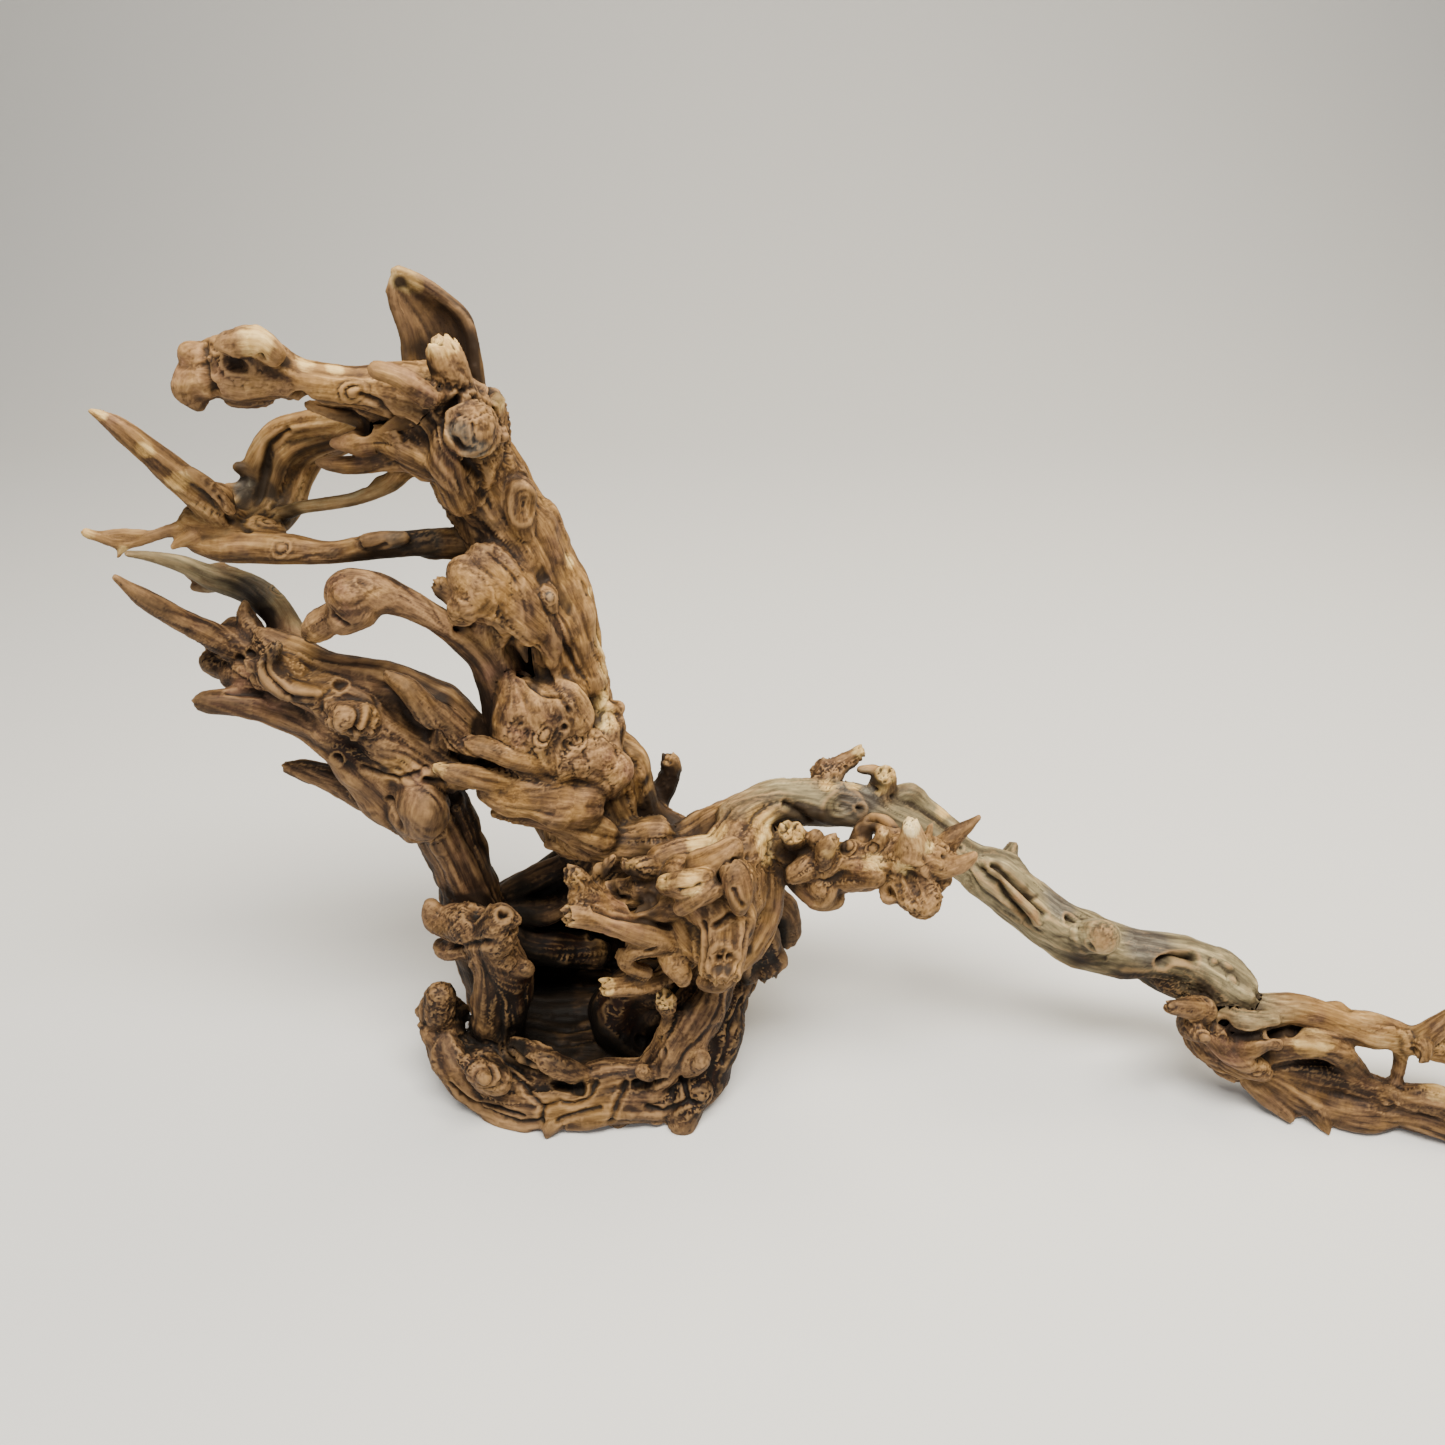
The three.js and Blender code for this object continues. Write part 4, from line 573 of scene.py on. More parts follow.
class Skin:
    """The wood's skin as arrays, in millimetres, for moving its points like a carver would."""

    def __init__(self, body):
        self.mesh = body.data
        self.count = len(self.mesh.vertices)
        self.edges = pulled(self.mesh.edges, "vertices", 2, np.int32)
        self.degree = np.bincount(self.edges.ravel(), minlength=self.count).astype(np.float32)
        self.read()

    def read(self):
        self.co = pulled(self.mesh.vertices, "co", 3) / MM
        self.normal = pulled(self.mesh.vertex_normals, "vector", 3)

    def write(self):
        self.mesh.vertices.foreach_set("co", (self.co * MM).astype(np.float32).ravel())
        self.mesh.update()
        self.read()

    def mean(self, values):
        """What a value is on average at the neighbours of each point."""
        flat = values.reshape(self.count, -1)
        a, b = self.edges.T
        out = np.empty_like(flat)
        for i in range(flat.shape[1]):
            total = np.bincount(a, flat[b, i], self.count) + np.bincount(b, flat[a, i], self.count)
            out[:, i] = total / self.degree
        return out.reshape(values.shape)

    def smoothed(self, values, rounds, share=0.6):
        for _ in range(rounds):
            values = values + share * (self.mean(values) - values)
        return values

    def below(self, rounds):
        """How far each point lies below the skin around it, in millimetres."""
        near = self.smoothed(self.co, rounds, 1.0)
        return ((near - self.co) * self.normal).sum(1)


def lattice(seed):
    return np.random.default_rng(seed).random((LATTICE, LATTICE, LATTICE), np.float32)


def noise(points, size, table):
    """Soft random values from 0 to 1, in lumps of the given size in millimetres."""
    p = points / size
    low = np.floor(p).astype(np.int32)
    f = (p - low).astype(np.float32)
    f = f * f * (3 - 2 * f)
    low &= LATTICE - 1
    x0, y0, z0 = low.T
    x1, y1, z1 = (low.T + 1) & (LATTICE - 1)
    fx, fy, fz = f.T

    def line(y, z):
        return table[x0, y, z] * (1 - fx) + table[x1, y, z] * fx

    near = line(y0, z0) * (1 - fy) + line(y1, z0) * fy
    far = line(y0, z1) * (1 - fy) + line(y1, z1) * fy
    return near * (1 - fz) + far * fz


# How soon the ways and the traits of two limbs give way to one another, in millimetres
FLOW_BLEND, TRAIT_BLEND = 2.5, 3.5
# How much a limb's grain winds round it, in radians
LEAN = 0.12


def nearest_limb(points, paths, traits, reach=9.0):
    """For each point: the limb whose skin is nearest, the way its fibres run, its place across
    and along that limb, and the traits of the limbs around it."""
    count = len(points)
    found = {
        "distance": np.full(count, FAR, np.float32),
        "limb": np.full(count, -1, np.int32),
        "flow": np.zeros((count, 3), np.float32),
        "fibre": np.zeros((count, 3), np.float32),
        "radius": np.full(count, 3, np.float32),
        "traits": np.zeros((count, traits.shape[1]), np.float32),
    }
    total = np.full(count, 1e-9, np.float32)
    for k, path in enumerate(paths):
        path = np.vstack([path[:-1:2], path[-1:]])
        widest = path[:, 3].max() + reach
        low, high = path[:, :3].min(0) - widest, path[:, :3].max(0) + widest
        index = np.flatnonzero(((points > low) & (points < high)).all(1))
        if not len(index):
            continue
        p = points[index]
        length = np.linalg.norm(np.diff(path[:, :3], axis=0), axis=1)
        start = np.append(0, np.cumsum(length))
        way = unit(np.gradient(path[:, :3], axis=0))
        best = np.full(len(index), FAR, np.float32)
        keep = np.zeros((len(index), 8), np.float32)
        for j in range(len(path) - 1):
            a, b = path[j], path[j + 1]
            line = b[:3] - a[:3]
            t = np.clip((p - a[:3]) @ line / (line @ line), 0, 1)
            off = p - a[:3] - t[:, None] * line
            radius = a[3] + t * (b[3] - a[3])
            distance = np.linalg.norm(off, axis=1) - radius
            closer = np.flatnonzero(distance < best)
            best[closer] = distance[closer]
            keep[closer, :3] = way[j] + t[closer, None] * (way[j + 1] - way[j])
            keep[closer, 3:6] = off[closer]
            keep[closer, 6] = radius[closer]
            keep[closer, 7] = start[j] + t[closer] * length[j]
        side = unit(np.cross(way.mean(0), (0.31, 0.93, 0.2)))
        other = np.cross(way.mean(0), side)
        lean = math.tan(np.random.default_rng(k).normal(0, LEAN))
        tangent = keep[:, :3] + lean * np.cross(keep[:, :3], unit(keep[:, 3:6], 1e-6))
        weight = np.exp(-np.maximum(best, -3) / FLOW_BLEND)
        sign = np.where((found["flow"][index] * tangent).sum(1) < 0, -1, 1)
        found["flow"][index] += (weight * sign)[:, None] * tangent
        weight = np.exp(-np.maximum(best, -6) / TRAIT_BLEND)
        found["traits"][index] += weight[:, None] * traits[k]
        total[index] += weight
        closer = best < found["distance"][index]
        to = index[closer]
        found["distance"][to] = best[closer]
        found["limb"][to] = k
        found["radius"][to] = keep[closer, 6]
        found["fibre"][to, 0] = keep[closer, 3:6] @ side + 37 * k
        found["fibre"][to, 1] = keep[closer, 3:6] @ other + 11 * k
        found["fibre"][to, 2] = keep[closer, 7]
    length = np.linalg.norm(found["flow"], axis=1)
    found["flow"] /= np.maximum(length, 1e-6)[:, None]
    found["traits"] /= total[:, None]
    return found


PAIR = np.triu_indices(3)


def softened(grid, rounds):
    """The values of a grid of cells, each brought nearer to those of its six neighbours."""
    for _ in range(rounds):
        total = 2 * grid
        for axis in range(3):
            total += np.roll(grid, 1, axis) + np.roll(grid, -1, axis)
        grid = total / 8
    return grid


def main_way(tensor):
    """The way that a cell's fibres mostly run, from the six values of its tensor."""
    matrix = np.empty((len(tensor), 3, 3), np.float32)
    matrix[:, PAIR[0], PAIR[1]] = tensor
    matrix[:, PAIR[1], PAIR[0]] = tensor
    return np.linalg.eigh(matrix)[1][:, :, 2].astype(np.float32)


def flat_on(way, out):
    """The same ways laid along the skin, which faces out."""
    return way - (way * out).sum(1)[:, None] * out


# How wide an eddy of the grain is, in millimetres
EDDY_SIZE = 24


class Flow:
    """The way the fibres run near the skin, kept in small cells so that it is quick to follow."""

    def __init__(self, skin, paths, traits, knots):
        self.low = skin.co.min(0) - 4 * CELL
        cells = np.floor((skin.co - self.low) / CELL).astype(np.int32)
        self.size = cells.max(0) + 5
        inside = np.zeros(self.size, bool)
        inside[tuple(cells.T)] = True
        for _ in range(2):
            grown = inside.copy()
            for axis in range(3):
                grown |= np.roll(inside, 1, axis) | np.roll(inside, -1, axis)
            inside = grown
        place = np.argwhere(inside)
        middle = ((place + 0.5) * CELL + self.low).astype(np.float32)
        found = nearest_limb(middle, paths, traits)
        swirl = found["traits"][:, TRAITS.index("swirl"), None]
        eddies = [noise(middle, EDDY_SIZE, lattice(SEEDS["eddies"] + axis)) for axis in range(3)]
        eddies = np.column_stack(eddies) - 0.5
        self.way = found["flow"] + (0.4 + 2.0 * swirl) * eddies
        self.coarse = np.full(self.size, -1, np.int32)
        self.coarse[tuple(place.T)] = np.arange(len(place))
        self.middle, self.out = self.facing(skin, cells, place)
        self.level = (self.middle * self.out).sum(1)
        self.way = flat_on(self.way, self.out)
        self.calm(place, 5)
        for centre, away, radius in knots:
            self.bend_round(middle, centre, away, radius)
        self.refine(place, self.calm(place, 2))

    def facing(self, skin, cells, place):
        """The middle of the skin around each cell, and its mean normal, which is short inside thin limbs."""
        flat = np.ravel_multi_index(cells.T, self.size)
        rows = [np.ones(skin.count), *skin.co.T, *skin.normal.T]
        sums = np.stack([np.bincount(flat, row, np.prod(self.size)) for row in rows], 1)
        sums = sums.reshape(*self.size, 7).astype(np.float32)
        sums = softened(sums, 2)[tuple(place.T)]
        sums /= sums[:, :1] + 1e-9
        return sums[:, 1:4], sums[:, 4:]

    def onto_skin(self, points):
        """The points brought back to the skin, when a straight step has left it."""
        spot = (points - self.low) / CELL - 0.5
        cell = np.floor(spot).astype(np.int32)
        part = (spot - cell).astype(np.float32)
        rest = 1 - part
        move = np.zeros_like(points)
        total = np.full(len(points), 1e-6, np.float32)
        for corner in np.ndindex(2, 2, 2):
            row = self.coarse[tuple(np.clip(cell + corner, 0, self.size - 1).T)]
            x, y, z = (part[:, i] if corner[i] else rest[:, i] for i in range(3))
            share = x * y * z * (row >= 0)
            out = self.out[row]
            move += (share * ((points * out).sum(1) - self.level[row]))[:, None] * out
            total += share
        return points - move / total[:, None]

    def calm(self, place, rounds):
        """Brings the ways of neighbouring cells together, whichever sense each runs in."""
        tensor = np.zeros((*self.size, 6), np.float32)
        tensor[tuple(place.T)] = self.way[:, PAIR[0]] * self.way[:, PAIR[1]]
        tensor = softened(tensor, rounds)
        self.way = main_way(tensor[tuple(place.T)])
        return tensor

    def refine(self, place, tensor):
        """Halves the cells, with the ways between them, so that streaks run without steps."""
        fine, rows = [], []
        for half in np.ndindex(2, 2, 2):
            toward = 2 * np.array(half) - 1
            row = np.zeros((len(place), 6), np.float32)
            for corner in np.ndindex(2, 2, 2):
                share = np.prod(np.where(corner, 0.25, 0.75))
                row += share * tensor[tuple((place + np.array(corner) * toward).T)]
            fine.append(2 * place + half)
            rows.append(row)
        fine = np.vstack(fine)
        self.row = np.full(2 * self.size, -1, np.int32)
        self.row[tuple(fine.T)] = np.arange(len(fine))
        way = flat_on(main_way(np.vstack(rows)), np.vstack([self.out] * 8))
        self.way = unit(way, 1e-6)

    def bend_round(self, middle, centre, out, radius):
        """Fibres part round a knot as water does round a post, and ring it inside."""
        off = middle - centre
        near = np.flatnonzero((off**2).sum(1) < (3.4 * radius)**2)
        if not len(near):
            return
        off = off[near]
        off = off - (off @ out)[:, None] * out
        r = np.linalg.norm(off, axis=1)[:, None] + 1e-6
        off = off / r
        way = self.way[near]
        flat = way - (way @ out)[:, None] * out
        share = np.clip((1.2 * radius / r)**2, 0, 1)
        round_it = flat * (1 + share) - 2 * share * (flat * off).sum(1)[:, None] * off
        ring = np.cross(out, off) + 0.45 * off
        ring *= np.sign((ring * round_it).sum(1))[:, None] + 1e-3
        inside = np.clip((1.4 * radius - r) / (0.5 * radius), 0, 1)
        new = round_it * (1 - inside) + ring * inside
        self.way[near] = unit(new, 1e-6)

    def at(self, points):
        cell = np.floor((points - self.low) * 2 / CELL).astype(np.int32)
        cell = np.clip(cell, 0, 2 * self.size - 1)
        row = self.row[tuple(cell.T)]
        way = self.way[row]
        way[row < 0] = 0
        return way

    def streaks(self, points, size, length, seed):
        """Random values drawn out along the fibres: a grain of the given width and length."""
        table = lattice(seed)
        step = size * 0.8
        count = int(length / step)
        every = max(1, round(2.4 / step))
        total = noise(points, size, table)
        steps = np.ones(len(points), np.float32)
        for sense in (1, -1):
            place = points.copy()
            before = self.at(place) * sense
            for turn in range(count):
                way = self.at(place)
                way *= np.where((way * before).sum(1) < 0, -1, 1)[:, None]
                place = place + way * step
                if turn % every == every - 1:
                    place = self.onto_skin(place)
                moving = (way != 0).any(1)
                total += noise(place, size, table) * moving
                steps += moving
                before = np.where(moving[:, None], way, before)
        total = (total - total.mean() / steps.mean() * steps) / np.sqrt(steps)
        return np.clip(total / (2.2 * total.std()), -1, 1).astype(np.float32)


def sight(px, py):
    """The way that the camera looks through a place in the photograph."""
    across, up = (px - PHOTO / 2) / FOCAL, (PHOTO / 2 - py) / FOCAL
    c, s = math.cos(TILT), math.sin(TILT)
    return Vector((across, c + up * s, -s + up * c)).normalized()


def on_skin(body, px, py):
    """Where a mark in the photograph lies on the skin, and the way out there."""
    hit, place, normal, _ = body.ray_cast(EYE * MM, sight(px, py))
    if not hit:
        return None
    return np.array(place) / MM, np.array(normal)


def shelter(body, skin, rays=16, reach=45, cell=4, lift=1.2):
    """How much of the air around each point is shut off by other wood, from 0 to 1.

    One point in each cell sends out rays from just above the skin, and the others take its value.
    """
    cells = np.floor(skin.co / cell).astype(np.int64)
    key = (cells[:, 0] * MOST_CELLS + cells[:, 1]) * MOST_CELLS + cells[:, 2]
    _, first, back = np.unique(key, return_index=True, return_inverse=True)
    ways = 0.98 * unit(np.random.default_rng(SEEDS["shelter"]).normal(size=(rays, 3)))
    shut = np.zeros(len(first), np.float32)
    for i, point in enumerate(first):
        out = skin.normal[point]
        start = Vector((skin.co[point] + lift * out) * MM)
        for way in ways:
            shut[i] += body.ray_cast(start, Vector(way + out), distance=reach * MM)[0]
    return skin.smoothed(shut[back] / rays, 8)


# Marks on the skin, by where they show in the photograph, with a radius in millimetres.
# An eye is a round boss in folds of bark, a cut a flat end with a rim, a swirl low rings in the
# grain, a ball a round lump, a dent a shallow bowl and a hole a deep pit.
KNOTS = {
    "crown_knot": (472, 420, 8.0, "cut"),
    "crown_pale_lump": (498, 396, 2.8, "eye"),
    "crown_side_lump": (505, 436, 2.6, "eye"),
    "arm_lid": (353, 393, 3.0, "eye"),
    "arm_dent": (236, 362, 3.6, "dent"),
    "arm_pit": (261, 356, 1.3, "hole"),
    "arm_knob": (188, 351, 4.5, "swirl"),
    "stub_face": (525, 506, 5.0, "dent"),
    "grey_bump": (549, 597, 1.9, "eye"),
    "edge_lump": (584, 584, 3.0, "ball"),
    "edge_lump_low": (600, 680, 3.0, "ball"),
    "slab_swirl": (465, 598, 7.0, "swirl"),
    "low_swirl": (519, 739, 5.5, "swirl"),
    "low_eye": (545, 736, 3.2, "eye"),
    "low_pit": (565, 729, 1.8, "hole"),
    "low_eye_right": (577, 741, 2.8, "eye"),
    "broken_stub": (609, 722, 5.5, "dent"),
    "snout_knot": (609, 768, 5.5, "swirl"),
    "side_eye": (343, 720, 7.0, "eye"),
    "side_pit": (338, 758, 1.8, "hole"),
    "side_stump": (340, 686, 2.6, "dent"),
    "side_ball": (422, 806, 10.0, "ball"),
    "side_end": (206, 662, 5.0, "swirl"),
    "bar_eye": (281, 548, 2.6, "eye"),
    "bar_ring": (328, 552, 2.8, "swirl"),
    "curl_pit": (274, 506, 1.8, "hole"),
    "curl_eye": (271, 521, 2.6, "eye"),
    "rear_eye": (276, 591, 2.2, "eye"),
    "elbow_pit": (364, 583, 2.2, "dent"),
    "elbow_swirl": (346, 592, 4.5, "swirl"),
    "pillar_hole": (503, 914, 2.5, "hole"),
    "pillar_bowl": (477, 914, 4.5, "dent"),
    "pillar_cheek": (526, 965, 4.2, "swirl"),
    "rim_knot": (487, 1081, 5.5, "eye"),
    "cave_swirl": (612, 1012, 7.0, "swirl"),
    "cave_pit": (640, 1040, 3.0, "dent"),
    "wall_knot": (701, 1066, 4.2, "swirl"),
    "wall_knot_low": (701, 1096, 5.5, "swirl"),
    "burl_hole": (651, 965, 4.4, "hole"),
    "snout_end": (723, 961, 5.0, "dent"),
    "snout_pit": (719, 959, 1.6, "hole"),
    "snout_pit_right": (729, 957, 1.4, "hole"),
    "candle_end": (668, 996, 3.2, "swirl"),
    "branch_shade": (844, 808, 7.0, "dent"),
    "branch_hole": (860, 809, 1.9, "hole"),
    "branch_pit": (1070, 919, 2.4, "hole"),
    "branch_knot": (1101, 937, 8.5, "ball"),
    "branch_knot_swirl": (1107, 931, 5.0, "swirl"),
    "branch_knot_pit": (1092, 944, 2.2, "dent"),
    "branch_knob": (1230, 966, 2.0, "ball"),
    "branch_knob_low": (1234, 980, 2.0, "ball"),
    "branch_knob_left": (1215, 961, 1.6, "ball"),
    "cut_knob": (792, 831, 4.8, "cut"),
    "big_socket": (913, 886, 7.0, "dent"),
    "socket_mouth": (888, 893, 2.4, "hole"),
    "knob_socket": (850, 846, 2.6, "eye"),
    "knob_socket_right": (873, 848, 2.6, "eye"),
    "tip_knot": (1244, 1010, 3.0, "eye"),
    "tip_knot_low": (1205, 1037, 3.2, "eye"),
    "tip_knot_left": (1193, 996, 2.2, "eye"),
}

# Cracks, hollows and raised ridges along the skin: width and depth in millimetres (a ridge has a
# depth below nothing), then where it passes in the photograph
CRACKS = {
    "trunk_crevice": (3.6, 6.5, [(460, 628), (484, 625), (504, 637), (512, 654), (523, 671)]),
    "trunk_crack": (1.6, 2.2, [(529, 682), (545, 695), (559, 695), (571, 712)]),
    "trunk_hollow": (7, 3.6, [(458, 522), (477, 535)]),
    "trunk_hollow_low": (4, 3, [(497, 557), (508, 570), (515, 580)]),
    "trunk_ridge": (6, -2.6, [(549, 602), (552, 630), (555, 662)]),
    "crown_ring": (1.8, 2.6, [(445, 429), (447, 411), (458, 400), (477, 397), (491, 411), (498, 429)]),
    "crown_crease": (2, 2.2, [(458, 440), (470, 462), (481, 478)]),
    "crown_fold": (2, 2.2, [(360, 395), (378, 404), (396, 420), (403, 439)]),
    "arm_under": (3, 4, [(300, 398), (321, 404), (345, 411), (364, 430)]),
    "arm_neck": (2, 2.8, [(206, 347), (204, 365), (209, 384), (213, 395)]),
    "ball_edge": (2, 3, [(389, 800), (398, 820), (415, 841), (435, 832), (451, 807), (447, 784), (426, 779)]),
    "side_slit": (1.7, 4, [(347, 731), (362, 731)]),
    "side_zigzag": (2, 2.2, [(364, 768), (380, 774), (398, 778), (428, 770)]),
    "side_hollow": (7, 4.5, [(385, 687), (400, 706), (418, 726), (437, 738)]),
    "side_seam": (1.8, 2.6, [(250, 652), (262, 668), (276, 684), (290, 697)]),
    "web_fold": (1.8, 2.2, [(240, 660), (250, 676), (266, 690)]),
    "side_fold": (2.4, 1.8, [(261, 657), (270, 680), (286, 696), (314, 699)]),
    "side_fold_low": (2, 2.2, [(229, 692), (255, 694), (277, 696), (293, 701)]),
    "side_plate": (2, 1.4, [(240, 657), (254, 676), (261, 692)]),
    "bar_slab": (1.5, 1.8, [(356, 538), (366, 549), (385, 545)]),
    "bar_joint": (1.6, 2.2, [(220, 499), (230, 521), (249, 531)]),
    "curl_fold": (2.2, 2.6, [(286, 431), (269, 446), (266, 470), (259, 497), (242, 521)]),
    "elbow_fold": (1.6, 2.2, [(325, 596), (332, 615), (346, 625)]),
    "pillar_collar": (2.6, 3, [(427, 943), (451, 948), (484, 943), (510, 934)]),
    "rim_crack": (3, 5.5, [(510, 1052), (533, 1069), (558, 1085), (580, 1088)]),
    "rim_fold": (2, 2.4, [(482, 1056), (498, 1064), (514, 1076), (527, 1090), (543, 1107), (541, 1121)]),
    "rim_fold_high": (1.8, 2.2, [(486, 1041), (502, 1054), (516, 1064), (530, 1078)]),
    "rim_wave": (2, 2.2, [(543, 1107), (559, 1100), (574, 1107), (586, 1099), (596, 1084)]),
    "rim_edge": (2.4, 2.2, [(625, 1084), (617, 1104), (611, 1121)]),
    "foot_fold": (2, 2.4, [(648, 1108), (664, 1112), (686, 1102), (710, 1098)]),
    "rim_spur_fold": (1.8, 2, [(455, 1090), (474, 1105), (496, 1110), (522, 1118)]),
    "rim_fold_low": (2, 2, [(450, 1085), (480, 1110), (520, 1124), (560, 1120), (600, 1108)]),
    "shelf_crack": (2.5, 4, [(636, 1084), (650, 1085), (664, 1081)]),
    "wall_fold": (2, 2.4, [(665, 1050), (683, 1078), (688, 1098)]),
    "wall_fold_high": (2, 2.4, [(742, 1000), (728, 1030), (722, 1062)]),
    "burl_pocket": (3.6, 5.5, [(609, 887), (617, 900), (635, 906), (650, 900)]),
    "palm_fold": (1.8, 2.2, [(594, 910), (617, 918), (642, 920), (670, 928)]),
    "palm_fold_low": (2, 2.2, [(591, 936), (624, 946), (655, 948)]),
    "snout_left": (2.2, 3, [(705, 923), (706, 946), (701, 974)]),
    "snout_right": (2.2, 3, [(747, 923), (742, 956), (732, 981)]),
    "snout_brow": (2.4, 3, [(716, 925), (729, 915), (747, 915)]),
    "cheek_edge": (1.8, 2.4, [(719, 882), (729, 862), (747, 857), (749, 874), (734, 890), (742, 905)]),
    "patch_crack": (1.2, 1.8, [(664, 878), (680, 890), (700, 884)]),
    "branch_under": (1.8, 2.2, [(804, 779), (842, 783), (875, 789), (894, 797)]),
    "branch_lens": (2.4, 2.8, [(785, 804), (798, 812), (808, 820)]),
    "branch_slit": (2, 4, [(869, 819), (884, 822), (894, 826)]),
    "slot": (3.2, 5.5, [(980, 867), (1001, 883), (1009, 900), (1028, 921)]),
    "slot_right": (2.4, 4.5, [(993, 865), (1014, 883), (1035, 904), (1043, 914)]),
    "slot_twig": (2.6, -3.2, [(991, 871), (1007, 885), (1028, 908), (1037, 921)]),
    "branch_mouth": (3.2, 6, [(1161, 962), (1175, 957), (1192, 959)]),
    "tip_fold": (3, 4.5, [(1224, 1023), (1236, 1033), (1265, 1035), (1296, 1029)]),
    "lip_slit": (1.4, 2.6, [(944, 856), (961, 848)]),
}

# Where the wood shows another colour: place in the photograph and radius in millimetres.
# Pale is bare wood at old breaks, slate the grey skin of long-dead wood, dark the darker damp wood of the
# foot together with painted shade in the cave, on the walls and on the undersides, red the smooth heartwood
# and tan the outer wood where it is rubbed.
TINTS = {
    "pale": [(396, 276, 5), (412, 284, 5), (445, 338, 4), (503, 398, 5), (255, 339, 7), (99, 412, 4),
             (145, 451, 4), (177, 482, 4.5), (87, 533, 3), (123, 550, 2.5), (609, 722, 6), (438, 766, 5),
             (604, 986, 5.5), (668, 994, 4), (862, 748, 6), (886, 775, 6),
             (792, 831, 5), (914, 826, 5.5), (836, 847, 4.5), (928, 846, 4.5), (1312, 1043, 9),
             (1436, 1088, 9), (765, 822, 10), (765, 850, 8), (663, 880, 6), (690, 884, 7), (636, 863, 5),
             (700, 843, 8), (718, 832, 6), (598, 640, 7), (604, 672, 7), (602, 700, 6), (588, 590, 4),
             (570, 560, 4), (872, 862, 6), (832, 852, 5), (905, 868, 5), (305, 364, 4), (335, 368, 4),
             (826, 786, 5), (852, 786, 5), (880, 790, 4), (944, 812, 5), (1052, 888, 5), (1118, 914, 5)],
    "slate": [(459, 432, 5), (476, 449, 5), (549, 596, 2), (425, 545, 8), (400, 543, 6), (255, 588, 9),
              (246, 486, 6), (1060, 900, 12), (1150, 940, 14), (860, 795, 14)],
    "dark_and_shade": [(735, 1020, 14), (720, 1070, 14), (690, 1100, 10), (755, 930, 6), (768, 960, 8), (600, 1020, 18),
             (520, 1000, 18), (560, 960, 18), (1160, 985, 16), (1120, 975, 12), (1080, 960, 10),
             (420, 545, 10), (350, 750, 9)],
    "red": [(384, 375, 11), (430, 392, 9), (352, 455, 9), (500, 690, 13), (520, 745, 9), (250, 700, 13),
            (620, 915, 15), (741, 885, 9), (700, 925, 8), (862, 872, 9), (620, 770, 8), (330, 600, 10),
            (200, 375, 8), (1225, 1050, 10), (465, 460, 9), (560, 640, 10), (1103, 937, 6), (478, 415, 4),
            (1002, 884, 3), (1016, 897, 3.5), (1032, 913, 3.5)],
    "tan": [(588, 1108, 13), (560, 1110, 9), (598, 640, 9), (604, 700, 8), (592, 610, 6), (583, 580, 6),
            (487, 1081, 5), (500, 600, 8), (405, 690, 10), (300, 640, 9), (640, 800, 12),
            (510, 800, 9), (600, 940, 12), (1250, 985, 9), (1340, 1010, 9), (330, 385, 9),
            (300, 664, 9), (318, 684, 8), (375, 720, 7), (395, 770, 8)],
}


def hump(x):
    """1 at 0, falling softly to 0 at 1."""
    x = np.clip(x, 0, 1)
    return (1 - x * x)**2


def bell(x, middle, width):
    """1 at the middle, falling softly to nothing on both sides."""
    return np.exp(-((x - middle) / width)**2)


# The winding ring of a knot comes round again after this much of its radius
RING_GAP = 0.36


def knot_height(kind, x, angle, turn):
    """How far a knot moves the skin out, in its own radii, at the distance x from its middle."""
    rings = np.cos(2 * math.pi * x / RING_GAP + angle + 0.9 * np.sin(angle + turn)
                   + 0.5 * np.sin(3 * angle - turn))
    open_side = 1 + 0.6 * np.sin(angle + turn)
    checks = bell(np.abs(np.sin(1.5 * angle + turn)), 0, 0.12)
    if kind == "eye":
        return (0.24 * hump(x / 0.75) - 0.2 * bell(x, 0.76, 0.13) * open_side
                + 0.15 * bell(x, 1.05, 0.2) * open_side - 0.07 * bell(x, 1.42, 0.12)
                + 0.06 * bell(x, 1.7, 0.16) + 0.015 * rings * (x < 0.6))
    if kind == "cut":
        return (0.16 * hump(x / 1.15)**0.5 + 0.18 * bell(x, 0.95, 0.12) * open_side
                - 0.16 * hump(x / 0.8) - 0.12 * checks * (x < 0.7) - 0.14 * bell(x, 1.22, 0.1))
    if kind == "ball":
        return 0.4 * hump(x / 1.15) - 0.1 * bell(x, 1.3, 0.2)
    if kind == "swirl":
        return 0.12 * hump(x / 1.3) + 0.018 * rings * hump(x / 1.2) * open_side
    if kind == "dent":
        return 0.16 * bell(x, 1.1, 0.2) - 0.42 * hump(x / 1.0) + 0.03 * rings * (x < 0.9)
    return 0.18 * bell(x, 1.3, 0.25) - 1.7 * hump(x / 1.1)


# The small knots of the sides and the back: how many there are, how far apart and how big, in
# millimetres, and how often each kind comes
SMALL_KNOTS = 80
KNOT_GAP = 15
KNOT_SIZES = (2.2, 5.5)
KNOT_KINDS = {"eye": 0.35, "ball": 0.25, "dent": 0.2, "hole": 0.1, "swirl": 0.1}


def scattered(skin, count, seed):
    """Places for the small knots of the sides and the back, which the photograph doesn't show."""
    draw = np.random.default_rng(seed)
    chosen = []
    for i in draw.permutation(skin.count):
        if skin.normal[i, 1] < -0.05:
            continue
        if all(((skin.co[i] - skin.co[j])**2).sum() > KNOT_GAP**2 for j in chosen):
            chosen.append(i)
        if len(chosen) == count:
            break
    kinds = draw.choice(list(KNOT_KINDS), count, p=list(KNOT_KINDS.values()))
    sizes = draw.uniform(*KNOT_SIZES, count)
    return [(skin.co[i], skin.normal[i], size, kind) for i, size, kind in zip(chosen, sizes, kinds)]


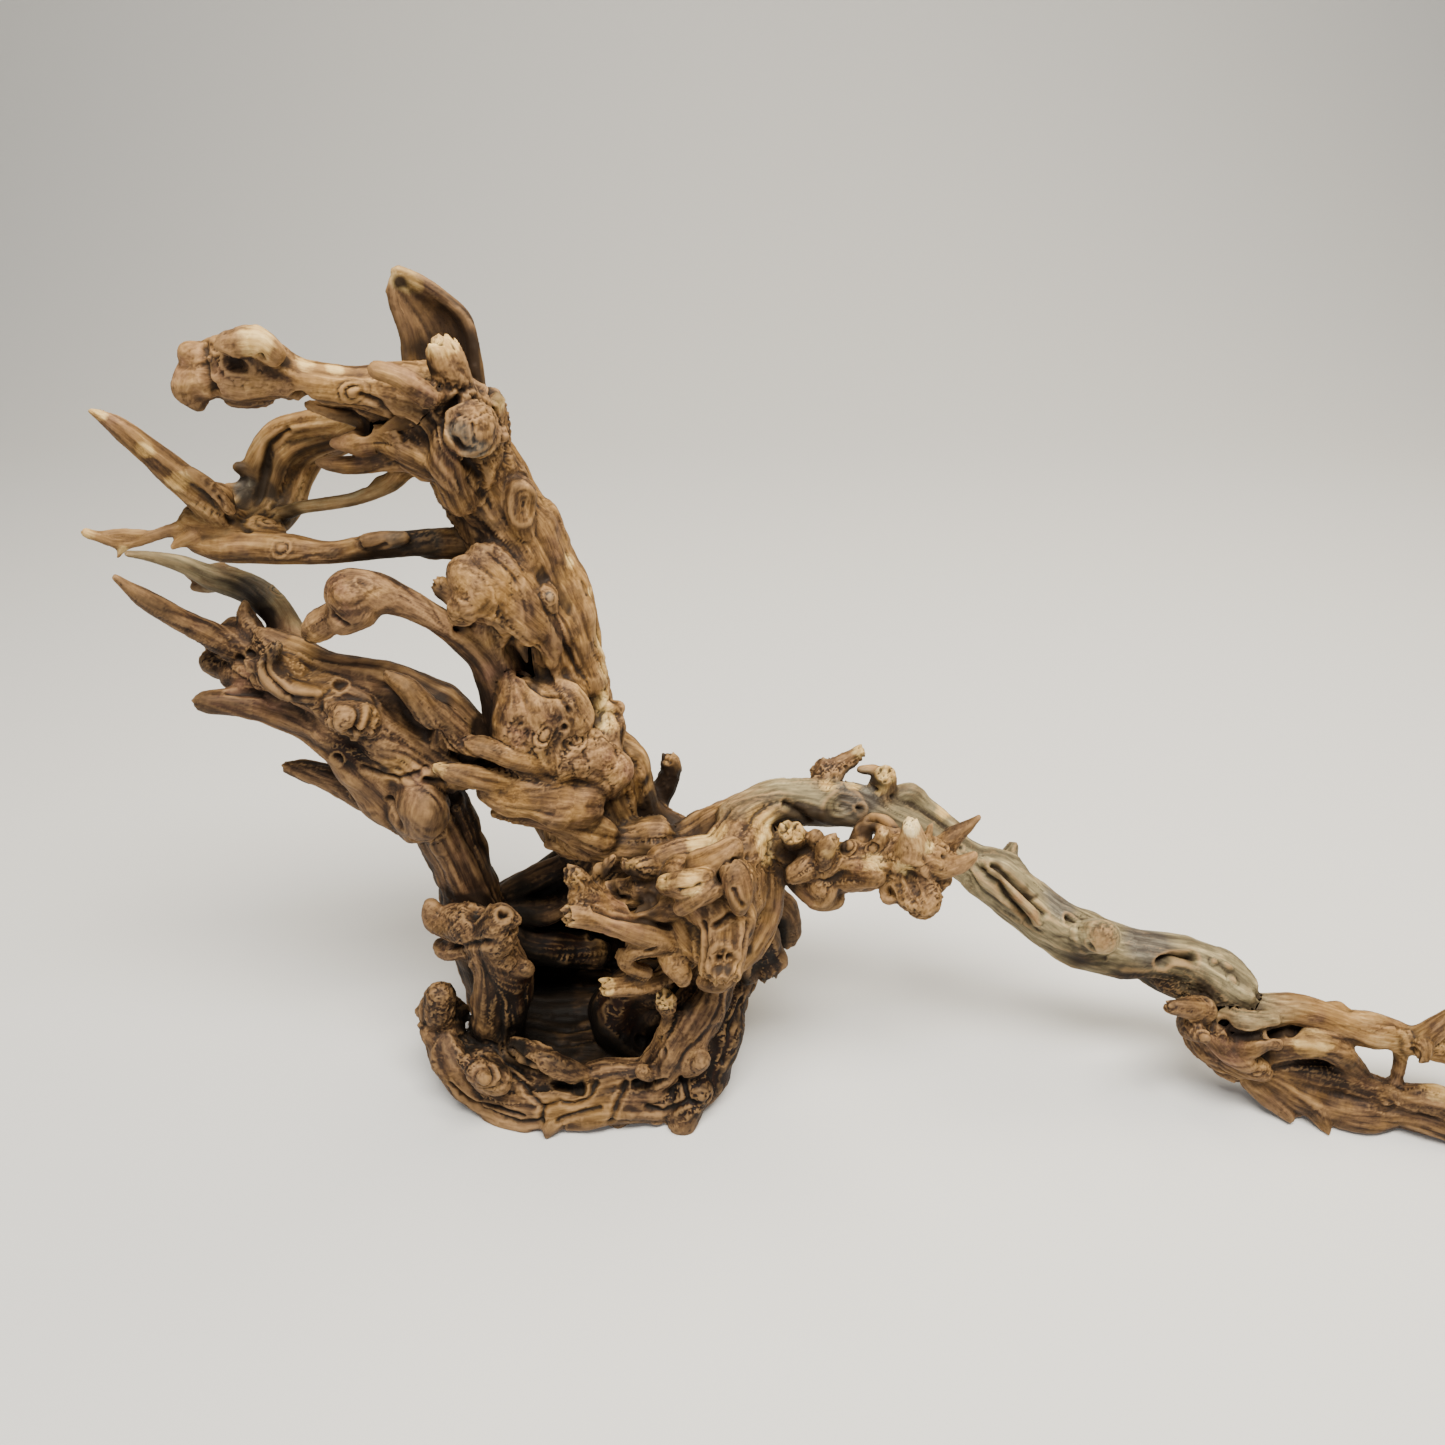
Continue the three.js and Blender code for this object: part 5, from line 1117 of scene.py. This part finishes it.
# Every limb's path, the piece that it belongs to and what its wood is like
NAMES = list(LIMBS)
PATHS, OWNER, NATURES = [], [], []
tips = []
tube_paths = []
for number, (name, limbs) in enumerate(LIMBS.items()):
    made = {limb: smooth_path(stations) for limb, stations in limbs.items()}
    for limb, path in made.items():
        PATHS.append(path)
        OWNER.append(number)
        NATURES.append(LIMB_NATURE.get(name, {}).get(limb, NATURE[name]))
        if limb in BROKEN.get(name, ()):
            tips.append((len(PATHS) - 1, BROKEN[name][limb]))
    for left, right, *form in WEBS.get(name, ()):
        for path in web(made[left], made[right], *form):
            PATHS.append(path)
            OWNER.append(number)
            NATURES.append(NATURE[name])
OWNER = np.array(OWNER)
NATURES = np.array(NATURES, np.float32)
for k, path in enumerate(PATHS):
    tube_paths.append(rounded(path))
    if path[:, 3].mean() > SINEW_RADIUS and len(path) > 8:
        worn = NATURES[k, TRAITS.index("worn")]
        sinews = strands(path, SINEWS, 0.62 - 0.1 * worn, 0.34 + 0.14 * worn, k)
        tube_paths += [rounded(row) for row in sinews]
wood = melted(tubes("coral_wood", tube_paths), VOXEL)
wood.data.polygons.foreach_set("use_smooth", [True] * len(wood.data.polygons))
skin = Skin(wood)
skin.co = skin.smoothed(skin.co, SKIN_ROUNDS)
skin.write()
bpy.context.view_layer.update()

knots = []
for px, py, radius, kind in KNOTS.values():
    found = on_skin(wood, px, py)
    if found:
        knots.append((found[0], found[1], radius, kind))
knots += scattered(skin, SMALL_KNOTS, SEEDS["knots"])
cracks = []
for width, depth, marks in CRACKS.values():
    places = [on_skin(wood, px, py) for px, py in marks]
    cracks.append((width, depth, np.array([place[0] for place in places if place])))
tints = {}
for tint, marks in TINTS.items():
    tints[tint] = np.zeros(skin.count, np.float32)
    for px, py, radius in marks:
        found = on_skin(wood, px, py)
        if found:
            tints[tint] += hump(np.linalg.norm(skin.co - found[0], axis=1) / (1.3 * radius))

# The grain at four sizes: how wide its streaks are and how long, in millimetres
GRAIN = {"lobes": (8.0, 34), "ridges": (3.2, 34), "fibres": (1.5, 22), "threads": (0.95, 9)}
limb = nearest_limb(skin.co, PATHS, NATURES)
worn, _, grey, tan, dark_and_shade = limb["traits"].T
flow = Flow(skin, PATHS, NATURES, [knot[:3] for knot in knots if knot[3] not in ("hole", "dent", "ball")])
lobes, ridges, fibres, threads = (flow.streaks(skin.co, *size, SEEDS[name]) for name, size in GRAIN.items())

# Carving, in millimetres: thick limbs are cut deeper than thin ones, and worn layers leave terraces
thick = np.clip(limb["radius"] / 10, 0.2, 1.1) * worn
lumps = 2.8 * (noise(skin.co, 12, lattice(SEEDS["lumps"])) - 0.5)
lumps = lumps + 1.3 * (noise(skin.co, 5.5, lattice(SEEDS["small_lumps"])) - 0.5)
height = thick * (1.7 * lobes + lumps)
quiet = np.zeros(skin.count, np.float32)
for centre, out, radius, kind in knots:
    off = skin.co - centre
    near = np.flatnonzero((off**2).sum(1) < (2.4 * radius)**2)
    if not len(near):
        continue
    off = off[near]
    rise = off @ out
    flat = off - rise[:, None] * out
    along = flow.at(np.array([centre], np.float32))[0]
    along = unit(along - (along @ out) * out, 1e-6)
    a, b = flat @ along, flat @ np.cross(out, along)
    turn = (centre.sum() * 0.7) % 6
    angle = np.arctan2(b, a)
    uneven = 1 + 0.09 * np.sin(2 * angle + turn) + 0.06 * np.sin(3 * angle + 2 * turn)
    x = np.sqrt((a / 1.15)**2 + (b / 0.92)**2) / (radius * uneven)
    facing = np.clip(skin.normal[near] @ out * 1.6, 0, 1) * (np.abs(rise) < 1.7 * radius)
    height[near] = (height[near] * (1 - 0.6 * hump(x / 1.4) * facing)
                    + radius * knot_height(kind, x, angle, turn) * facing)
    quiet[near] = np.maximum(quiet[near], np.clip(2 * hump(x / 1.3), 0, 1) * facing)

# How high one worn layer stands above the next
TERRACE = 1.0
terrace = np.cos(2 * math.pi * height / TERRACE)
rough = np.clip(2.2 * noise(skin.co, 21, lattice(SEEDS["rough"])) - 0.6, 0.15, 1) * (1 - 0.75 * quiet)
furrow = np.sqrt(np.clip(0.55 + 0.5 * ridges, 0, 1))
height += rough * (0.6 + 1.2 * thick) * (furrow - 0.7)
height -= (0.3 + 0.9 * thick) * np.clip(-0.5 - ridges, 0, 0.25) / 0.25 * np.clip(rough + 0.2, 0, 1)
height += 0.06 * thick * terrace
firm = np.clip(0.3 + worn, 0, 1) * np.clip(limb["radius"] / 6, 0.3, 1)
height += firm * (0.12 + 0.12 * rough) * fibres + 0.08 * threads
crack_edge = lattice(SEEDS["crack_edge"])
for width, depth, places in cracks:
    cut = np.zeros(skin.count, np.float32)
    for a, b in zip(places, places[1:]):
        line = b - a
        near = np.flatnonzero((np.abs(skin.co - (a + b) / 2) < np.abs(line) / 2 + 2 * width).all(1))
        t = np.clip((skin.co[near] - a) @ line / (line @ line), 0, 1)
        r = np.linalg.norm(skin.co[near] - a - t[:, None] * line, axis=1)
        r = r * (0.75 + 0.5 * noise(skin.co[near], 4, crack_edge))
        cut[near] = np.maximum(cut[near], np.clip(1 - r / width, 0, 1)**1.3)
    height -= depth * cut
skin.co = skin.co + skin.normal * height[:, None]

# Old breaks: the round ends are cut short and splintered along the grain
broken = np.zeros(skin.count, np.float32)
splinters, fine_splinters = lattice(SEEDS["splinter"]), lattice(SEEDS["fine_splinter"])
for k, bare in tips:
    end, radius = PATHS[k][-1, :3], PATHS[k][-1, 3]
    way = unit(end - PATHS[k][-2, :3])
    off = skin.co - end
    near = np.flatnonzero(((off**2).sum(1) < (2.2 * radius + 1)**2) & (limb["limb"] == k))
    off = off[near]
    out = off @ way
    cross = (off - out[:, None] * way).astype(np.float32) + 50
    splinter = noise(cross, 1.7, splinters) + 0.5 * noise(cross, 0.9, fine_splinters) - 0.8
    reach = np.clip(out / radius + 0.55, 0, 1)
    move = reach * (-0.5 * np.clip(out, 0, None) + 1.1 * splinter * min(radius, 4))
    skin.co[near] += move[:, None] * way
    broken[near] = np.maximum(broken[near], 0.8 * bare * np.clip(out / radius + 0.8, 0, 1))
skin.co[:, 2] = np.maximum(skin.co[:, 2], 0)
skin.write()
bpy.context.view_layer.update()

# What the colours follow: hollows and crests at two sizes, the grain, the air and the weather. The hollows
# and the air that other wood shuts off darken the colour with dirt and painted shade, and the dark trait
# brings darker damp wood and painted shade
attributes = {
    "groove": np.clip(skin.below(3) / 0.35, -1, 1),
    "deep": np.clip(skin.below(40) / 1.6, -1, 1),
    # How shut in by other wood each place is, which darkens the colour as dirt and painted shade
    "shelter": shelter(wood, skin),
    "grain": 0.5 + 0.5 * fibres,
    "band": 0.5 + 0.5 * ridges,
    "ring": 0.5 + 0.5 * terrace,
    "grey": np.clip(grey - 0.55 * tints["red"], 0, 1),
    "tan": np.clip(tan + 0.7 * tints["tan"], 0, 1),
    "dark_and_shade": np.clip(dark_and_shade + tints["dark_and_shade"], 0, 1),
    "pale": np.clip(tints["pale"] + broken, 0, 1),
    "slate": np.clip(tints["slate"], 0, 1),
    "red": np.clip(tints["red"], 0, 1),
}
for name, values in attributes.items():
    wood.data.attributes.new(name, "FLOAT", "POINT").data.foreach_set("value", values.astype(np.float32))
drawn_out = np.array((1, 1, 0.07), np.float32)
for name, values in {"fibre": limb["fibre"] * drawn_out, "out": skin.normal}.items():
    kept = wood.data.attributes.new(name, "FLOAT_VECTOR", "POINT")
    kept.data.foreach_set("vector", values.astype(np.float32).ravel())

# The skin is parted into the pieces, each with the faces that lie nearest to its limbs.
quads = pulled(wood.data.polygons, "vertices", 4, np.int32)
score = np.zeros((skin.count, len(NAMES)), np.float32)
score[np.arange(skin.count), OWNER[limb["limb"]]] = 1
score = skin.smoothed(score, 6, 1.0)
piece_of = score[quads].sum(1).argmax(1)
for _ in NAMES:
    wood.data.materials.append(None)
wood.data.polygons.foreach_set("material_index", piece_of.astype(np.int32))
wood.data.attributes.new("node", "INT", "FACE").data.foreach_set("value", piece_of.astype(np.int32))
wood.data.update()


def linear(code):
    """An sRGB hex colour as the linear values that the shader takes."""
    parts = [int(code[i:i + 2], 16) / 255 for i in (1, 3, 5)]
    return [c / 12.92 if c <= 0.04045 else ((c + 0.055) / 1.055)**2.4 for c in parts] + [1]


def add(tree, kind, links=(), values=(), **settings):
    """Adds a node: settings are its properties, values and links its inputs by name or number."""
    node = tree.nodes.new("ShaderNode" + kind)
    for key, value in settings.items():
        setattr(node, key, value)
    for key, value in dict(values).items():
        node.inputs[key].default_value = value
    for key, source in dict(links).items():
        tree.links.new(source, node.inputs[key])
    return node


def ramp(tree, source, stops):
    """A colour ramp over a value."""
    node = add(tree, "ValToRGB", {"Fac": source})
    points = node.color_ramp.elements
    while len(points) < len(stops):
        points.new(0.5)
    for point, (place, code) in zip(points, stops):
        point.position = place
        point.color = linear(code)
    return node.outputs["Color"]


def mix(tree, share, a, b, blend="MIX"):
    """Two colours mixed by a share: each is a socket or a hex colour."""
    node = add(tree, "Mix", data_type="RGBA", blend_type=blend)
    for name, value in ((0, share), (6, a), (7, b)):
        if isinstance(value, str):
            node.inputs[name].default_value = linear(value)
        else:
            tree.links.new(value, node.inputs[name])
    return node.outputs[2]


def scale_to(tree, source, low, high, out_low=0.0, out_high=1.0):
    """A value from one range brought to another, and held inside it."""
    return add(tree, "MapRange", {"Value": source},
               {"From Min": low, "From Max": high, "To Min": out_low, "To Max": out_high}).outputs["Result"]


def sums(tree, *terms):
    """The sum of values, each times a number."""
    total = None
    for source, factor in terms:
        part = add(tree, "Math", {0: source}, {1: factor}, operation="MULTIPLY").outputs[0]
        total = part if total is None else add(tree, "Math", {0: total, 1: part}, operation="ADD").outputs[0]
    return total


# The colours of the wood from its dark soft layers to its light hard ones
RAMPS = {
    "brown": [(0.0, "#20150d"), (0.28, "#3d2a1b"), (0.52, "#694e34"), (0.76, "#8b6a47"), (1.0, "#b08a5c")],
    "red": [(0.0, "#24160e"), (0.3, "#4a3322"), (0.6, "#70503b"), (1.0, "#a47d60")],
    "tan": [(0.0, "#3a2711"), (0.3, "#634621"), (0.6, "#8a683b"), (1.0, "#c29c63")],
    "silver": [(0.0, "#3e3525"), (0.3, "#5c523c"), (0.6, "#827556"), (1.0, "#b7a87f")],
    "slate": [(0.0, "#231f1b"), (0.35, "#413a32"), (0.7, "#676052"), (1.0, "#958d7a")],
    "bare": [(0.0, "#664a26"), (0.35, "#aa874e"), (0.7, "#d4b677"), (1.0, "#efdaa8")],
}
# Multiplied over the wood by the dark trait: darker damp wood together with painted shade in the cave and on
# the undersides
DAMP_AND_SHADE = "#4b351f"
RUBBED = "#b08a5c"

# What the tone and each layer of colour follow and how much, and the sums at which they begin and
# are full
TONE = ({"grain": 0.34, "band": 0.16, "fine": 0.62, "speck": 0.12, "ring": 0.06, "blotch": 0.16}, 0.46, 1.08)
LAYERS = {
    "red": ({"red": 0.55, "stain": 1.0}, 0.56, 0.8),
    "tan": ({"tan": 0.5, "blotch": 1.0}, 0.58, 0.86),
    "silver": ({"grey": 0.8, "blotch": 0.5, "fine": 0.3}, 0.62, 0.98),
    "slate": ({"slate": 0.8, "blotch": 0.6}, 0.5, 0.85),
    "bare": ({"pale": 0.6, "blotch": 0.7, "fine": 0.35, "speck": 0.35}, 0.92, 1.22),
}
# Dirt and painted shade in the furrows, the hollows and the sheltered places: where it begins and is full,
# and from what share to what share it hides the wood
DIRT_AND_SHADE = {"groove": (0.05, 0.75, 0, 0.85), "deep": (0.0, 1.0, 0, 0.7), "shelter": (0.36, 0.76, 0, 0.95)}


# Bare root wood that lay in water and sun for years: the soft layers are worn away and leave
# ridges, brown where it is sheltered and silver-grey where it isn't, with a dull waxy surface; dirt and
# painted shade darken its furrows, hollows and sheltered places.
def weathered_wood(name, deepest_dirt_and_shade):
    material = bpy.data.materials.new(name)
    material.use_nodes = True
    tree = material.node_tree
    tree.nodes.clear()
    output = add(tree, "OutputMaterial")
    shader = add(tree, "BsdfPrincipled", values={"Roughness": 0.66, "IOR": 1.45, "Specular IOR Level": 0.22})
    tree.links.new(shader.outputs[0], output.inputs["Surface"])

    def value(attribute):
        return add(tree, "Attribute", attribute_name=attribute).outputs["Fac"]

    fibre = add(tree, "Attribute", attribute_name="fibre").outputs["Vector"]
    place = add(tree, "TexCoord").outputs["Object"]

    def cloud(vector, scale, detail=3, roughness=0.55):
        return add(tree, "TexNoise", {"Vector": vector},
                   {"Scale": scale, "Detail": detail, "Roughness": roughness}).outputs["Fac"]

    # Annual rings seen lengthwise are 0.8 to 1.2 mm apart, stains run over 15 to 40 mm
    clouds = {"fine": cloud(fibre, 1.05, 4, 0.62), "stain": cloud(place, 36),
              "blotch": cloud(place, 95, 4, 0.6), "speck": cloud(place, 420, 3, 0.6)}

    def blended(terms, low, high):
        found = [(clouds[key] if key in clouds else value(key), share) for key, share in terms.items()]
        return scale_to(tree, sums(tree, *found), low, high)

    tone = blended(*TONE)
    colour = ramp(tree, tone, RAMPS["brown"])
    for layer, follows in LAYERS.items():
        colour = mix(tree, blended(*follows), colour, ramp(tree, tone, RAMPS[layer]))
    # The dark trait multiplies in darker damp wood together with painted shade
    colour = mix(tree, scale_to(tree, value("dark_and_shade"), 0, 1), colour, DAMP_AND_SHADE, "MULTIPLY")
    colour = mix(tree, scale_to(tree, value("groove"), -0.1, -0.8, 0, 0.38), colour, RUBBED)
    for hollow, span in DIRT_AND_SHADE.items():
        colour = mix(tree, scale_to(tree, value(hollow), *span), colour, deepest_dirt_and_shade)
    tree.links.new(colour, shader.inputs["Base Color"])
    relief = add(tree, "Bump", {"Height": clouds["fine"]}, {"Strength": 0.6, "Distance": 0.0004})
    grit = cloud(place, 1300, 2)
    relief = add(tree, "Bump", {"Height": grit, "Normal": relief.outputs[0]},
                 {"Strength": 0.25, "Distance": 0.0002})
    tree.links.new(relief.outputs[0], shader.inputs["Normal"])
    return material


# Heartwood that was kept from light, the darker wood of the hollow foot, tan outer wood and
# wood greyed by the weather
# The second colour of each is the darkest dirt and painted shade in its hollows
MATERIALS = {
    "heartwood": weathered_wood("weathered_heartwood", "#1f150d"),
    "dark_wood": weathered_wood("weathered_root", "#100b06"),
    "tan_wood": weathered_wood("weathered_outer_wood", "#261a0f"),
    "grey_wood": weathered_wood("silvered_wood", "#2a2015"),
}
SLOTS = {row["node"]: row["material_slot"] for row in frame["record"]["subparts"]}


def closed(mesh):
    """Fills the openings that parting the skin has left."""
    bm = bmesh.new()
    bm.from_mesh(mesh)
    rims = [edge for edge in bm.edges if edge.is_boundary]
    made = bmesh.ops.holes_fill(bm, edges=rims, sides=0)["faces"]
    bmesh.ops.triangulate(bm, faces=made)
    bm.to_mesh(mesh)
    bm.free()


# The foot's flat sole and hidden cave need fewer faces than the rest
SPARED = {"root_bowl": 0.5}


def thin(piece, share):
    """Keeps a share of a piece's faces, where the skin bends most."""
    fewer = piece.modifiers.new("fewer", "DECIMATE")
    fewer.ratio = share
    mesh = baked(piece)
    places = pulled(mesh.vertices, "co", 3)
    places[:, 2] = np.maximum(places[:, 2], 0)
    mesh.vertices.foreach_set("co", places.ravel())
    piece.modifiers.clear()
    piece.data = mesh


bpy.ops.object.select_all(action="DESELECT")
bpy.context.view_layer.objects.active = wood
wood.select_set(True)
bpy.ops.object.mode_set(mode="EDIT")
bpy.ops.mesh.select_all(action="SELECT")
bpy.ops.mesh.separate(type="MATERIAL")
bpy.ops.object.mode_set(mode="OBJECT")
for piece in [obj for obj in bpy.context.selected_objects if obj.type == "MESH"]:
    node = NAMES[piece.data.attributes["node"].data[0].value]
    piece.name = node + "_wood"
    if node in SPARED:
        thin(piece, SPARED[node])
    closed(piece.data)
    piece.data.materials.clear()
    piece.data.materials.append(MATERIALS[SLOTS[node]])
    piece.data.polygons.foreach_set("material_index", np.zeros(len(piece.data.polygons), np.int32))
    out = pulled(piece.data.attributes["out"].data, "vector", 3)
    piece.data.normals_split_custom_set_from_vertices(out)
    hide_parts(node)
    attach(piece, "root")

# A plain pale floor that curves up behind into a wall and spreads out in front
FLOOR_SIZE = 2.4
FLOOR_SPREAD = 4
BEND_START, BEND_RADIUS = 0.75, 0.8
floor_mesh = bpy.data.meshes.new("floor")
bm = bmesh.new()
bmesh.ops.create_grid(bm, x_segments=2, y_segments=80, size=FLOOR_SIZE)
for vert in bm.verts:
    spread = 1 + FLOOR_SPREAD * max(0, -vert.co.y) / FLOOR_SIZE
    vert.co.x *= spread
    vert.co.y *= spread
    beyond = vert.co.y - BEND_START
    if beyond > 0:
        turn = min(beyond / BEND_RADIUS, math.pi / 2)
        vert.co.y = BEND_START + BEND_RADIUS * math.sin(turn)
        vert.co.z = BEND_RADIUS * (1 - math.cos(turn)) + max(0, beyond - BEND_RADIUS * math.pi / 2)
for face in bm.faces:
    face.smooth = True
bm.to_mesh(floor_mesh)
bm.free()
floor = bpy.data.objects.new("floor", floor_mesh)
bpy.context.collection.objects.link(floor)
# Matt pale board, which spreads the light evenly and shows no shine
board = bpy.data.materials.new("matt_pale_board")
board.use_nodes = True
board_inputs = board.node_tree.nodes["Principled BSDF"].inputs
board_inputs["Base Color"].default_value = linear("#d3d2cf")
board_inputs["Roughness"].default_value = 0.9
floor_mesh.materials.append(board)

SENSOR = 36
camera_data = bpy.data.cameras.new("camera")
camera_data.sensor_width = SENSOR
camera_data.lens = SENSOR * FOCAL / PHOTO
camera = bpy.data.objects.new("camera", camera_data)
camera.location = EYE * MM
camera.rotation_euler = (math.pi / 2 - TILT, 0, 0)
bpy.context.collection.objects.link(camera)
bpy.context.scene.camera = camera


LAMP_AIM = Vector((0.1, 0, 0.12))


def softbox(name, place, size, watts, colour):
    """A soft rectangular lamp that faces the wood."""
    lamp = bpy.data.lights.new(name, "AREA")
    lamp.shape = "RECTANGLE"
    lamp.size, lamp.size_y = size
    lamp.energy = watts
    lamp.color = linear(colour)[:3]
    box = bpy.data.objects.new(name, lamp)
    box.location = place
    box.rotation_euler = (LAMP_AIM - Vector(place)).to_track_quat("-Z", "Y").to_euler()
    bpy.context.collection.objects.link(box)


softbox("overhead", (0.15, -0.3, 1.1), (0.9, 0.3), 30, "#fffaf0")
softbox("front_fill", (-0.35, -1.3, 0.55), (1.2, 0.7), 5, "#f4f6ff")
softbox("back_glow", (0.6, 0.4, 1.3), (1.2, 0.5), 18, "#fff3dc")
world = bpy.data.worlds.new("studio")
world.use_nodes = True
sky = world.node_tree.nodes["Background"].inputs
sky["Color"].default_value = linear("#e6e8ea")
sky["Strength"].default_value = 0.3
bpy.context.scene.world = world
